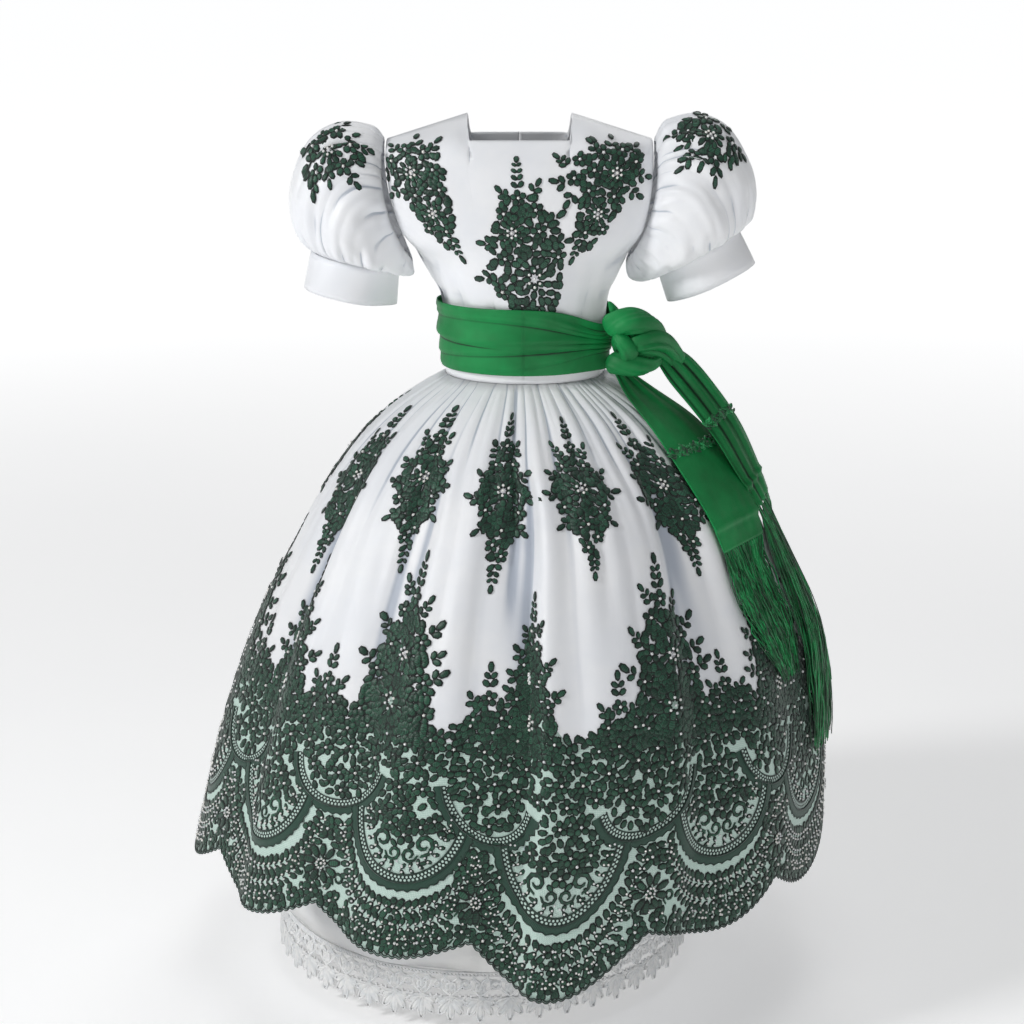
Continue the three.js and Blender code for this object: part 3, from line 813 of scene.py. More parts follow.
@dataclass
class BodiceForm(Form):
    """Bodice surface: a is the share of the half width from -1 to 1, b is minus the row's level."""

    side: Side = Side.FRONT
    rows: tuple = ((-52, 143, 22, 65, 59, 0), (-80, 140, 34, 74, 67, 1), (-108, 134, 38, 80, 73, 2),
                   (-134, 125, 30, 84, 76, 3), (-155, 113, 0, 85, 78, 4), (-178, 101, 0, 83, 77, 5),
                   (-199, 91, 0, 80, 75, 6), (-240, 87, 0, 74, 72, 6), (-269.5, 86, 0, 72, 71, 6))
    neck_half: float = 55.0
    tip: float = 143.0
    shoulder_top: float = -2.0
    shoulder_drop: float = 28.0
    neck_height: float = -27.0
    neck_depth: float = 45.0
    corner: tuple = (0.368, 0.392)
    ease: tuple = (0.27, 0.52)
    ease_depth: tuple = (0.55, 0.74)
    ease_height: tuple = (0.5, 0.42)
    creases: tuple = ()
    a_step = 0.002
    b_step = 0.02
    limit = 0.975
    top = -0.15

    def __post_init__(self) -> None:
        """Faces out on either half."""
        self.outward = 1.0 if self.side is Side.FRONT else -1.0

    def frame(self, a: Array, b: Array) -> tuple[Array, Array, Array, Array]:
        """The surface's frame, kept clear of the side seams where the form ends.

        Args:
            a: places round the form.
            b: places up the form.

        Returns:
            Points, normals, and the two lengths.
        """
        edge = 1 - 2 * self.a_step
        lowest = -(len(self.rows) + 1) + 2 * self.b_step
        return super().frame(np.clip(a, -edge, edge), np.clip(b, lowest, -2 * self.b_step))

    def levels(self, a: Array) -> Array:
        """The eleven levels of the table at shares a: (levels, ..., 3) in mm.

        Args:
            a: shares of the half width.

        Returns:
            One table of points for each level, top first.
        """
        share, sign = np.abs(a), np.sign(a)
        side = self.side.value
        round_ = np.sqrt(np.clip(1 - share * share, 0, 1))
        over = ramp(*self.corner, share)
        x = np.maximum(self.neck_half, share * self.tip)
        drop = self.shoulder_drop * (x - self.neck_half) / (self.tip - self.neck_half)
        neck = np.stack([a * self.tip, side * self.neck_depth * (0.96 + 0.04 * round_),
                         np.full_like(a, self.neck_height)], -1)
        seam = np.stack([sign * x, np.zeros_like(a), self.shoulder_top - drop], -1)
        top = neck + (seam - neck) * over[..., None]
        rows = []
        for z, edge, edge_y, front, back, shift in self.rows:
            deep = front if self.side is Side.FRONT else back
            rows.append(np.stack([shift + a * edge, side * (edge_y + (deep - edge_y) * round_),
                                  np.full_like(a, z)], -1))
        easy = ramp(*self.ease, share)
        reach, height = (low + (high - low) * easy for low, high in (self.ease_depth, self.ease_height))
        share3 = np.stack([np.full_like(a, 0.5), reach, height], -1)
        under = neck + (seam - neck) * easy[..., None]
        blend_row = under + (rows[0] - under) * share3
        return np.stack([top, blend_row, *rows])

    def at(self, a: Array, b: Array) -> Array:
        """Points of the bodice.

        Args:
            a: shares of the half width.
            b: minus the levels.

        Returns:
            Points in metres, one for each place.
        """
        a, b = np.broadcast_arrays(np.asarray(a, float), np.asarray(b, float))
        a = np.clip(a, -1, 1)
        level = np.clip(-b, 0, len(self.rows) + 1)
        table = self.levels(a)
        slopes = np.gradient(table, axis=0)
        i = np.clip(level.astype(int), 0, len(table) - 2)
        t = (level - i)[..., None]
        pick = lambda source, index: np.take_along_axis(source, index[None, ..., None], 0)[0]
        p, q, mp, mq = pick(table, i), pick(table, i + 1), pick(slopes, i), pick(slopes, i + 1)
        u, v = t * t, t ** 3
        point = (2 * v - 3 * u + 1) * p + (v - 2 * u + t) * mp + (3 * u - 2 * v) * q + (v - u) * mq
        out = np.stack([point[..., 0] * 0.6, point[..., 1], 0 * t[..., 0]], -1)
        for row in self.creases:
            point = point - unit(out) * Wrinkle(*row).mm(point)[..., None]
        return point * MM


@dataclass(frozen=True)
class Wrinkle:
    """Crease in the front or back view of the bodice, from one (x, z) to another, in mm."""

    x_from: float
    z_from: float
    x_to: float
    z_to: float
    width: float
    depth: float

    def mm(self, point: Array) -> Array:
        """Depth at points given in mm.

        Args:
            point: points (..., 3).

        Returns:
            Depths in mm.
        """
        start = np.array([self.x_from, self.z_from])
        line = np.array([self.x_to, self.z_to]) - start
        away = point[..., [0, 2]] - start
        length = np.hypot(*line)
        t = away @ line / length ** 2
        off = (away[..., 0] * line[1] - away[..., 1] * line[0]) / length
        return self.depth * bell(off, self.width) * ramp(-0.1, 0.3, t) * (1 - ramp(0.65, 1.1, t))


# Creases of the puffs: angle and level of the start and of the end, width in degrees, depth in mm and lean.
LEFT_CREASES = (
    (-152, -0.1, -150, -3.4, 9, 4.0, 0.3), (-124, -0.1, -118, -4.2, 9, 5.0, -0.3),
    (-98, -0.1, -90, -3.4, 8, 4.5, 0.3), (-74, -0.1, -66, -4.8, 9, 6.0, -0.3), (-50, -0.1, -46, -3.2, 7, 4.5, 0.2),
    (-27, -0.1, -30, -2.6, 7, 4.0, 0.0), (14, -0.1, 10, -3.0, 8, 4.0, -0.2), (44, -0.1, 48, -4.2, 9, 5.0, 0.3),
    (76, -0.1, 74, -3.4, 8, 4.5, -0.3), (104, -0.1, 110, -4.4, 9, 5.0, 0.2), (136, -0.1, 132, -3.2, 8, 4.0, 0.0),
    (-132, -6.9, -128, -4.4, 8, 4.5, 0.2), (-104, -6.9, -100, -3.8, 8, 5.5, -0.3),
    (-82, -6.9, -84, -4.8, 7, 4.5, 0.3), (-58, -6.9, -52, -3.6, 8, 6.0, 0.3), (-34, -6.9, -38, -4.6, 7, 4.5, -0.2),
    (-10, -6.9, -6, -4.0, 8, 5.0, 0.2), (18, -6.9, 22, -4.6, 8, 4.5, 0.0), (48, -6.9, 44, -3.8, 8, 5.5, -0.3),
    (78, -6.9, 82, -4.4, 8, 4.5, 0.3), (110, -6.9, 106, -4.0, 8, 5.0, 0.0), (142, -6.9, 144, -4.6, 8, 4.5, 0.2))
RIGHT_CREASES = (
    (150, -0.1, 148, -3.4, 9, 4.0, -0.3), (122, -0.1, 116, -4.4, 9, 5.0, 0.3), (100, -0.1, 96, -3.2, 8, 4.5, -0.2),
    (78, -0.1, 70, -4.6, 9, 6.0, 0.3), (54, -0.1, 50, -3.4, 7, 4.5, -0.3), (30, -0.1, 32, -2.6, 7, 4.0, 0.0),
    (-12, -0.1, -10, -3.0, 8, 4.0, 0.2), (-46, -0.1, -50, -4.2, 9, 5.0, -0.3), (-80, -0.1, -76, -3.4, 8, 4.5, 0.2),
    (-108, -0.1, -114, -4.4, 9, 5.0, 0.0), (-138, -0.1, -134, -3.2, 8, 4.0, 0.2),
    (134, -6.9, 130, -4.4, 8, 4.5, -0.2), (108, -6.9, 104, -3.8, 8, 5.5, 0.3), (86, -6.9, 90, -4.8, 7, 4.5, -0.3),
    (62, -6.9, 56, -3.6, 8, 6.0, -0.3), (38, -6.9, 40, -4.6, 7, 4.5, 0.2), (14, -6.9, 8, -4.0, 8, 5.0, -0.2),
    (-16, -6.9, -22, -4.6, 8, 4.5, 0.0), (-46, -6.9, -42, -3.8, 8, 5.5, 0.3), (-78, -6.9, -82, -4.4, 8, 4.5, -0.3),
    (-112, -6.9, -108, -4.0, 8, 5.0, 0.0), (-144, -6.9, -146, -4.6, 8, 4.5, -0.2))


@dataclass
class SleeveForm(Form):
    """Puff sleeve: a is the angle round the puff in degrees from its ridge, b minus the row's level."""

    side: int = 1
    lift: float = 14.0
    fullness: float = 1.06
    rows: tuple = ((148, -29, 119, -161, 40, 12), (160, -21, 120, -165, 53, 10), (192, -18, 120, -168, 62, 8),
                   (223, -36, 122, -171, 67, 5), (243, -76, 124, -173, 69, 2), (247, -108, 126, -174, 68, 0),
                   (240, -134, 129, -172, 62, 0), (227, -148, 134, -167, 50, 0))
    pivot: tuple = (134.0, -95.0)
    gathers: int = 33
    seed: int = 5
    roundness: float = 5.0
    creases: tuple = ()
    a_step = 0.3
    b_step = 0.01

    def __post_init__(self) -> None:
        """Works out the gathers at the armhole and at the cuff."""
        r = np.random.default_rng(self.seed)
        n = self.gathers
        self._seam = np.stack([np.arange(n) * 360 / n + r.uniform(-2.4, 2.4, n), r.uniform(2.1, 3.6, n),
                               r.uniform(3.6, 8.0, n), r.uniform(1.2, 3.2, n), r.uniform(2.2, 4.8, n)], 1)

    def ripple(self, a: Array, level: Array) -> Array:
        """How far the gathers draw the puff in, in mm.

        Args:
            a: angles round the puff in degrees.
            level: levels down the puff.

        Returns:
            Depths in mm.
        """
        total = np.zeros(np.broadcast(a, level).shape)
        last = len(self.rows) - 1
        for middle, width, deep, top, bottom in self._seam:
            near = bell(wrapped(a - middle), width)
            fade = np.exp(-(level / top) ** 2) * (0.35 + 0.65 * ramp(0, 0.4, level))
            cuff = np.exp(-((last - level) / (bottom * 0.5)) ** 2) * (0.25 + 0.75 * ramp(0, 0.35, last - level))
            total = total + deep * (near - width * BELL_AREA / 360) * (fade + cuff)
        for row in self.creases:
            total = total + Crease(*row).depth_at(a, -level) / MM
        return total - self.roundness * np.sin(np.pi * np.clip(level / last, 0, 1)) ** 0.7

    def at(self, a: Array, b: Array) -> Array:
        """Points of the puff.

        Args:
            a: angles round the puff in degrees.
            b: minus the levels.

        Returns:
            Points in metres, one for each place.
        """
        a, b = np.broadcast_arrays(np.asarray(a, float), np.asarray(b, float))
        last = len(self.rows) - 1
        level = np.clip(-b, -0.5, last)
        ox, oz, ix, iz, half, bulge = np.moveaxis(through(np.arange(last + 1), np.array(self.rows), level), -1, 0)
        return self.ring(a, level, ox, oz, ix, iz, half, bulge, self.ripple(a, level), 0.0)

    def ring(self, a: Array, level: Array, ox: Array, oz: Array, ix: Array, iz: Array, half: Array,
             bulge: Array, inward: Array, down: Number, spread: Number = 1.0) -> Array:
        """Points of rings given by their outer and inner points, in metres.

        Args:
            a: angles round the ring in degrees.
            level: levels down the puff.
            ox: x of the outer point in mm.
            oz: z of the outer point.
            ix: x of the inner point.
            iz: z of the inner point.
            half: half depth of the ring, front to back.
            bulge: how far front and back stand out sideways.
            inward: how far gathers draw the ring in.
            down: distance past the ring.
            spread: size of the ring against its row.

        Returns:
            Points in metres, one for each place.
        """
        last = len(self.rows) - 1
        turn = self.side * np.radians(a)
        c, s = np.cos(turn), np.sin(turn)
        size = (1 - inward / half) * spread
        mx, mz = (ox + ix) / 2, (oz + iz) / 2
        x = mx + (ox - mx) * c * size + bulge * s * s
        z = mz + (oz - mz) * c * size
        y = half * s * size
        tilt = np.arctan2(oz - iz, ox - ix)
        x, z = x + down * np.sin(tilt), z - down * np.cos(tilt)
        puff = 1 + (self.fullness - 1) * ramp(0, 1, level) * (1 - ramp(last - 1, last, level))
        angle = np.radians(self.lift * np.minimum(1, np.maximum(level, 0) / last))
        dx, dz = (x - self.pivot[0]) * puff, (z - self.pivot[1]) * puff
        px = self.pivot[0] + dx * np.cos(angle) - dz * np.sin(angle)
        pz = self.pivot[1] + dz * np.cos(angle) + dx * np.sin(angle)
        return np.stack([self.side * px, y, pz], -1) * MM


# ---- satin pieces -------------------------------------------------------------------------------

class Panel(Enum):
    """The skirt's three panels, with the angles of their side seams."""

    FRONT = ("front", -90.0, 90.0)
    BACK_LEFT = ("back_left", 90.0, 180.0)
    BACK_RIGHT = ("back_right", 180.0, 270.0)

    @property
    def label(self) -> str:
        """The panel's part of a piece's name."""
        return self.value[0]

    def spans(self, angle: Array) -> Array:
        """Whether angles lie on this panel."""
        turned = (np.asarray(angle) + 90.0) % 360.0 - 90.0
        return (turned >= self.value[1]) & (turned < self.value[2])


@dataclass
class Skirt:
    """The satin skirt: three gathered panels with a scalloped hem."""

    form: SkirtForm
    top: float = -0.287
    degrees_each: float = 0.6
    rows: int = 44
    hem_tuck: float = 0.003
    flats: dict = field(default_factory=lambda: {Panel.FRONT: (1.20, 0.60, 0.53),
                                                 Panel.BACK_LEFT: (0.61, 0.58, 0.26),
                                                 Panel.BACK_RIGHT: (0.61, 0.58, 0.26)})

    def points(self, panel: Panel) -> Array:
        """Grid of the panel's points from the waist to the hem.

        Args:
            panel: one of the three panels.

        Returns:
            Grid (columns, rows, 3).
        """
        _, first, last = panel.value
        angles = np.linspace(first, last, int((last - first) / self.degrees_each) + 1)
        down = np.linspace(0, 1, self.rows) ** 1.15
        hem = self.form.hem_at(angles) + self.hem_tuck
        z = self.top + (hem - self.top)[:, None] * down
        return seamed(self.form.at(angles[:, None], z))

    def build(self, satin: bpy.types.Material) -> None:
        """Makes and dresses the three panels.

        Args:
            satin: the white satin.
        """
        for panel, (width, length, area) in self.flats.items():
            piece = shell(f"skirt_{panel.label}_satin", self.points(panel), SATIN_NEAR, SATIN_FAR)
            dress(piece, satin, "white_satin", f"skirt_{panel.label}")


@dataclass
class Bodice:
    """The satin bodice: a front with a straight neckline, and two backs that meet at the centre."""

    front: BodiceForm
    back: BodiceForm
    columns: int = 80
    rows: int = 48
    centre_gap: float = 0.0008
    front_flat: tuple = (0.37, 0.29, 0.080)
    back_flat: tuple = (0.185, 0.29, 0.040)

    def shares(self) -> Array:
        """Places across the whole width, closer together at the sides and the neckline's corners.

        Returns:
            Rising numbers from -1 to 1.
        """
        even = np.sin(np.linspace(-np.pi / 2, np.pi / 2, self.columns))
        corner = np.linspace(*self.front.corner, 6)
        return np.unique(np.concatenate([even, corner, -corner]).round(6))

    def points(self, form: BodiceForm, shares: Array) -> Array:
        """Grid of one panel's points.

        Args:
            form: the front's or the back's form.
            shares: places across the panel.

        Returns:
            Grid (columns, rows, 3).
        """
        down = np.linspace(0, 1, self.rows) * (len(form.rows) + 1)
        points = form.at(shares[:, None], -down)
        points[..., 1] += form.side.value * SEAM
        return points

    def build(self, satin: bpy.types.Material) -> None:
        """Makes and dresses the three panels.

        Args:
            satin: the white satin.
        """
        shares = self.shares()
        piece = shell("bodice_front_satin", self.points(self.front, shares), SATIN_NEAR, SATIN_FAR)
        dress(piece, satin, "white_satin", "bodice_front")
        for label, sign in (("left", 1), ("right", -1)):
            half = shares[shares * sign > self.centre_gap]
            half = np.sort(np.append(half, sign * self.centre_gap))
            name = f"bodice_back_{label}"
            piece = shell(f"{name}_satin", self.points(self.back, half), SATIN_NEAR, SATIN_FAR, turned=True)
            dress(piece, satin, "white_satin", name)


@dataclass
class Sleeve:
    """A gathered puff sleeve with its plain cuff."""

    form: SleeveForm
    label: str
    columns: int = 200
    rows: int = 38
    cuff_height: float = 40.5
    cuff_gap: float = 2.0
    cuff_flare: float = 0.06
    cuff_far: float = 1.8
    cuff_rows: int = 7
    puff_flat: tuple = (0.45, 0.18, 0.062)
    cuff_flat: tuple = (0.37, 0.04)

    def build(self, satin: bpy.types.Material) -> None:
        """Makes and dresses the puff and the cuff.

        Args:
            satin: the white satin.
        """
        angles = np.arange(self.columns) * 360 / self.columns
        level = np.linspace(0, len(self.form.rows) - 1, self.rows)
        puff = shell(f"sleeve_{self.label}_satin", self.form.at(angles[:, None], -level), SATIN_NEAR, SATIN_FAR,
                     closed=True)
        dress(puff, satin, "white_satin", f"sleeve_{self.label}")
        cuff = shell(f"cuff_{self.label}_satin", self.cuff_points(angles), SATIN_NEAR, self.cuff_far * MM,
                     closed=True)
        dress(cuff, satin, "white_satin", f"cuff_{self.label}")

    def cuff_points(self, angles: Array) -> Array:
        """Grid of the cuff's points, from the puff's last ring down.

        Args:
            angles: angles round the cuff in degrees.

        Returns:
            Grid (columns, rows, 3).
        """
        last = len(self.form.rows) - 1
        ox, oz, ix, iz, half, bulge = (np.full((len(angles), self.cuff_rows), float(v))
                                       for v in self.form.rows[last])
        down = np.linspace(0, 1, self.cuff_rows)
        level = np.full(ox.shape, float(last))
        a = angles[:, None] + 0 * down
        soft = 1.8 * np.sin(np.radians(a * 3 + 40)) + 1.4 * np.sin(np.radians(a * 5 + 90 * down))
        return self.form.ring(a, level, ox, oz, ix, iz, half, bulge, soft * (0.3 + 0.7 * down),
                              self.cuff_gap + self.cuff_height * down, 1 + self.cuff_flare * down)


@dataclass
class RingForm(Form):
    """Tube of cloth round the body: rows of (z, half, depth, centre) in mm from top to bottom."""

    rows: tuple = ()
    waves: tuple = ()

    def __post_init__(self) -> None:
        """Turns the table upwards."""
        self._table = np.array(self.rows, float)[::-1] * MM

    def at(self, a: Array, b: Array) -> Array:
        """Points of the tube.

        Args:
            a: angles from the front in degrees.
            b: heights in metres.

        Returns:
            Points in metres, one for each place.
        """
        a, b = np.broadcast_arrays(np.asarray(a, float), np.asarray(b, float))
        half, depth, centre = np.moveaxis(through(self._table[:, 0], self._table[:, 1:], b), -1, 0)
        wave = 0.0
        for count, phase, deep in self.waves:
            wave = wave + deep * MM * np.sin(np.radians(a * count + phase))
        s, c = np.sin(np.radians(a)), np.cos(np.radians(a))
        return np.stack([centre + (half + wave) * s, -(depth + wave) * c, b], -1)


@dataclass
class Underskirt:
    """Plain cotton petticoat with its waist band, under the skirt."""

    form: RingForm = field(default_factory=lambda: RingForm(
        rows=((-290, 83, 70, 6), (-345, 120, 108, 4), (-470, 168, 156, -6), (-690, 212, 206, -26),
              (-903.5, 235, 233, -42)), waves=((9, 20, 1.6), (14, 80, 1.2))))
    band: RingForm = field(default_factory=lambda: RingForm(rows=((-269.9, 86, 72, 6), (-285.2, 86.5, 72.5, 6))))
    columns: int = 120
    rows: int = 30
    band_rows: int = 5
    flat: tuple = (1.47, 0.66, 0.80)
    band_flat: tuple = (0.51, 0.015)

    def build(self, cotton: bpy.types.Material, satin: bpy.types.Material) -> None:
        """Makes and dresses the petticoat and the waist band.

        Args:
            cotton: the petticoat's cotton.
            satin: the band's white satin.
        """
        angles = np.arange(self.columns)[:, None] * 360 / self.columns
        z = np.linspace(self.form.rows[0][0], self.form.rows[-1][0], self.rows) * MM
        piece = shell("underskirt_cotton", self.form.at(angles, z), SATIN_NEAR, SATIN_FAR, closed=True)
        dress(piece, cotton, "white_cotton", "underskirt")
        z = np.linspace(self.band.rows[0][0], self.band.rows[-1][0], self.band_rows) * MM
        piece = shell("waist_band_satin", self.band.at(angles, z), SATIN_NEAR, SATIN_FAR, closed=True)
        dress(piece, satin, "white_satin", "waist_band")


# ---- lace finishes ------------------------------------------------------------------------------

@dataclass(frozen=True)
class LaceThread:
    """Corded lace: a dark cord round each shape, darkened also as painted shade along the raised cord, and a lighter
    filling of threads with painted sheen.
    """

    # The cord's colour: dark as the cord is, and darker still as painted shade along its raised rim.
    cord: Colour = (6, 22, 16)
    filling: Colour = (40, 86, 65)
    deep: Colour = (16, 52, 38)
    cord_share: float = 0.34
    roughness: float = 0.5

    def make(self, effects: Effects) -> bpy.types.Material:
        """Builds the material, which reads the shapes' UV map and their own shade.

        Args:
            effects: the shared node groups.

        Returns:
            The material.
        """
        draft = MaterialDraft("green_lace_thread", Roughness=self.roughness, Specular_IOR_Level=0.4,
                              Sheen_Weight=0.2)
        graph = draft.graph
        parts = graph.add("ShaderNodeSeparateXYZ", {0: draft.uv})
        inside = graph.spread(parts.outputs[0], self.cord_share - 0.08, self.cord_share + 0.08)
        shade = graph.add("ShaderNodeAttribute", attribute_name="shade").outputs["Fac"]
        fill = graph.blend(shade, rgba(self.deep), rgba(self.filling))
        # Painted sheen: stripes across each leaf make the filling brighter and darker, standing in for light on the
        # stitches; the same stripes are also a bump.
        threads = graph.maths("SINE", graph.maths("MULTIPLY", parts.outputs[1], 44.0))
        lit = graph.spread(threads, -1.0, 1.0, 0.62, 1.35)
        scaled = graph.add("ShaderNodeCombineXYZ", {0: lit, 1: lit, 2: lit})
        shiny = graph.add("ShaderNodeVectorMath", {0: fill, 1: scaled.outputs[0]}, operation="MULTIPLY")
        # The rim takes the cord colour, partly painted shade along the raised cord; the inside takes the filling with
        # its painted sheen.
        draft.feed("Base Color", graph.blend(inside, rgba(self.cord), shiny.outputs[0]))
        draft.feed("Roughness", graph.spread(inside, 0, 1, self.roughness + 0.12, self.roughness - 0.08))
        draft.bump([(threads, 0.3, 0.00012)])
        return draft.material


@dataclass(frozen=True)
class Cord:
    """Plain twisted cord or yarn."""

    name: str = "green_lace_cord"
    colour: Colour = (12, 28, 22)
    light: Colour = (30, 62, 50)
    roughness: float = 0.55
    twist: float = 1400.0

    def make(self, effects: Effects) -> bpy.types.Material:
        """Builds the material.

        Args:
            effects: the shared node groups.

        Returns:
            The material.
        """
        draft = MaterialDraft(self.name, Roughness=self.roughness, Specular_IOR_Level=0.4, Sheen_Weight=0.25)
        graph = draft.graph
        tone = effects.use(graph, effects.mottle, {"Vector": draft.place, "Scale": 260.0})
        draft.feed("Base Color", graph.blend(tone, rgba(self.colour), rgba(self.light)))
        twist = graph.add("ShaderNodeTexWave", {"Vector": draft.place, "Scale": self.twist, "Distortion": 1.5},
                          bands_direction="DIAGONAL")
        draft.bump([(twist.outputs["Fac"], 0.3, 0.0002)])
        return draft.material


@dataclass(frozen=True)
class Net:
    """Fine pale net over satin."""

    ground: Colour = (206, 227, 218)
    pale: Colour = (218, 234, 227)
    thread: Colour = (168, 203, 189)
    mesh: float = 520.0

    def make(self, effects: Effects) -> bpy.types.Material:
        """Builds the material.

        Args:
            effects: the shared node groups.

        Returns:
            The material.
        """
        draft = MaterialDraft("pale_green_net", Roughness=0.6, Specular_IOR_Level=0.3, Sheen_Weight=0.1)
        graph = draft.graph
        cells = graph.add("ShaderNodeTexVoronoi", {"Vector": draft.uv, "Scale": self.mesh, "Randomness": 0.25},
                          feature="DISTANCE_TO_EDGE")
        thread = graph.spread(cells.outputs["Distance"], 0.05, 0.16, 1.0, 0.0)
        tone = effects.use(graph, effects.mottle, {"Vector": draft.place, "Scale": 14.0, "Low": 0.3, "High": 0.7})
        pale = graph.blend(tone, rgba(self.ground), rgba(self.pale))
        draft.feed("Base Color", graph.blend(thread, pale, rgba(self.thread)))
        draft.bump([(thread, 0.3, 0.0002)])
        return draft.material


@dataclass(frozen=True)
class Ladder:
    """Band with a lattice of pale eyelets on its inner half and green filling with painted sheen stripes on its outer
    half.
    """

    pitch: float = 4.6
    row_pitch: float = 3.3
    first_row: float = 0.9
    hole: float = 0.30
    # Darker and brighter colours of the filling's painted sheen stripes.
    dull: Colour = (22, 50, 40)
    shiny: Colour = (44, 84, 68)
    bars: Colour = (18, 40, 32)
    eyelets: Colour = (196, 220, 210)

    def make(self, effects: Effects) -> bpy.types.Material:
        """Builds the material, which reads the band's UV map in metres.

        Args:
            effects: the shared node groups.

        Returns:
            The material.
        """
        draft = MaterialDraft("ladder_lace", Roughness=0.5, Specular_IOR_Level=0.4, Sheen_Weight=0.2)
        graph = draft.graph
        parts = graph.add("ShaderNodeSeparateXYZ", {0: draft.uv})
        along, across = parts.outputs[0], parts.outputs[1]
        u = graph.maths("DIVIDE", along, self.pitch * MM)
        v = graph.maths("DIVIDE", graph.maths("SUBTRACT", across, self.first_row * MM), self.row_pitch * MM)
        row = graph.maths("FLOOR", v)
        offset = graph.maths("ADD", u, graph.maths("MULTIPLY", row, 0.5))
        cu = graph.maths("SUBTRACT", graph.maths("FRACT", offset), 0.5)
        cv = graph.maths("MULTIPLY", graph.maths("SUBTRACT", graph.maths("FRACT", v), 0.5),
                         self.row_pitch / self.pitch)
        far = graph.maths("SQRT", graph.maths("ADD", graph.maths("MULTIPLY", cu, cu), graph.maths("MULTIPLY", cv, cv)))
        hole = graph.spread(far, self.hole - 0.05, self.hole + 0.04, 1.0, 0.0)
        upper = graph.maths("MULTIPLY", graph.spread(across, 0.0009, 0.0012),
                            graph.spread(across, 0.0071, 0.0075, 1, 0))
        open_ = graph.maths("MULTIPLY", hole, upper)
        # Painted sheen: stripes along the band between the dull and the painted-sheen colour stand in for light on the
        # threads; the same stripes are also a bump.
        threads = graph.maths("SINE", graph.maths("MULTIPLY", along, 5200.0))
        fill = graph.blend(graph.spread(threads, -1, 1), rgba(self.dull), rgba(self.shiny))
        dark = graph.blend(upper, fill, rgba(self.bars))
        draft.feed("Base Color", graph.blend(open_, dark, rgba(self.eyelets)))
        draft.bump([(open_, 0.8, -0.0006), (threads, 0.25, 0.0001)])
        return draft.material


@dataclass(frozen=True)
class Pearl:
    """Small white pearl."""

    colour: Colour = (240, 238, 232)
    shaded: Colour = (224, 226, 228)

    def make(self, effects: Effects) -> bpy.types.Material:
        """Builds the material.

        Args:
            effects: the shared node groups.

        Returns:
            The material.
        """
        draft = MaterialDraft("white_pearl", Roughness=0.22, Coat_Weight=0.6, Coat_Roughness=0.1)
        tone = effects.use(draft.graph, effects.mottle, {"Vector": draft.place, "Scale": 90.0})
        draft.feed("Base Color", draft.graph.blend(tone, rgba(self.colour), rgba(self.shaded)))
        return draft.material


# ---- corded lace --------------------------------------------------------------------------------

LEAF_OUTLINE = 7
LEAF_CREST = 0.68
LEAF_HEIGHT = 1.0
PEARL_SIDES = 5


def leaf_template() -> tuple[Array, Array, Array]:
    """A leaf or petal one unit long: a rounded cord round a lower filling.

    Returns:
        Points, triangles, and UV pairs of (share in from the edge, share along the leaf).
    """
    turn = np.arange(LEAF_OUTLINE) * 2 * np.pi / LEAF_OUTLINE
    x = (1 - np.cos(turn)) / 2
    y = 0.5 * np.sin(turn) * (0.82 + 0.18 * x)
    outline = np.stack([x, y, 0 * x], -1)
    crest = np.stack([0.52 + (x - 0.52) * LEAF_CREST, y * LEAF_CREST, np.full_like(x, LEAF_HEIGHT)], -1)
    middle = np.array([[0.52, 0, LEAF_HEIGHT * 0.55]])
    n = LEAF_OUTLINE
    i = np.arange(n)
    j = (i + 1) % n
    faces = np.concatenate([np.stack([i, j, j + n], -1), np.stack([i, j + n, i + n], -1),
                            np.stack([i + n, j + n, np.full(n, 2 * n)], -1)])
    points = np.concatenate([outline, crest, middle])
    faces = faces[:, ::-1]
    uv = np.stack([np.concatenate([np.zeros(n), np.full(n, 1 - LEAF_CREST), [1.0]]), points[:, 0]], -1)
    return points, faces, uv


def scroll_template(hand: int = 1, steps: int = 11) -> tuple[Array, Array, Array]:
    """A comma-shaped curl one unit across, a tapering band that winds inwards to one hand.

    Args:
        hand: 1 or -1, the side that it winds to.
        steps: points along the curl.

    Returns:
        Points, quads and UV pairs, as for a leaf.
    """
    t = np.linspace(0, 1, steps)
    turn = np.radians(200 - 430 * t)
    radius = 0.5 - 0.36 * t
    centre = np.stack([radius * np.cos(turn), radius * np.sin(turn) + 0.08 * t], -1)
    wide = 0.115 * np.sin(np.pi * (0.12 + 0.8 * t)) ** 0.6
    outward = np.stack([np.cos(turn), np.sin(turn)], -1)
    rows, heights, rims = [], [0, 1, 0.5, 1, 0], [0, 0.35, 1, 0.35, 0]
    for across, height in zip((-1, -0.6, 0, 0.6, 1), heights):
        flat = centre + outward * (across * wide)[:, None]
        rows.append(np.concatenate([flat, np.full((steps, 1), height * LEAF_HEIGHT)], 1))
    points = np.stack(rows, 1)
    points[..., 1] *= hand
    faces = grid_faces(steps, 5)[:, ::-hand]
    uv = np.stack([np.broadcast_to(np.array(rims, float), (steps, 5)), np.broadcast_to(t[:, None], (steps, 5))], -1)
    return points.reshape(-1, 3), faces, uv.reshape(-1, 2)


def pearl_template() -> tuple[Array, Array, Array]:
    """A pearl of radius one half, as a dome that sits on the lace.

    Returns:
        Points, triangles and UV pairs.
    """
    rings = [(0.5, 0.0), (0.42, 0.36)]
    turn = np.arange(PEARL_SIDES) * 2 * np.pi / PEARL_SIDES
    points = [np.stack([r * np.cos(turn), r * np.sin(turn), np.full_like(turn, z + 0.15)], -1) for r, z in rings]
    points.append(np.array([[0, 0, 0.68]]))
    n = PEARL_SIDES
    i = np.arange(n)
    j = (i + 1) % n
    quads = np.concatenate([np.stack([i + k * n, j + k * n, j + k * n + n, i + k * n + n], -1)
                            for k in range(len(rings) - 1)])
    last = (len(rings) - 1) * n
    top = np.stack([i + last, j + last, np.full(n, last + n)], -1)
    faces = np.concatenate([quads[:, [0, 1, 2]], quads[:, [0, 2, 3]], top])
    points = np.concatenate(points)
    return points, faces, np.zeros((len(points), 2))


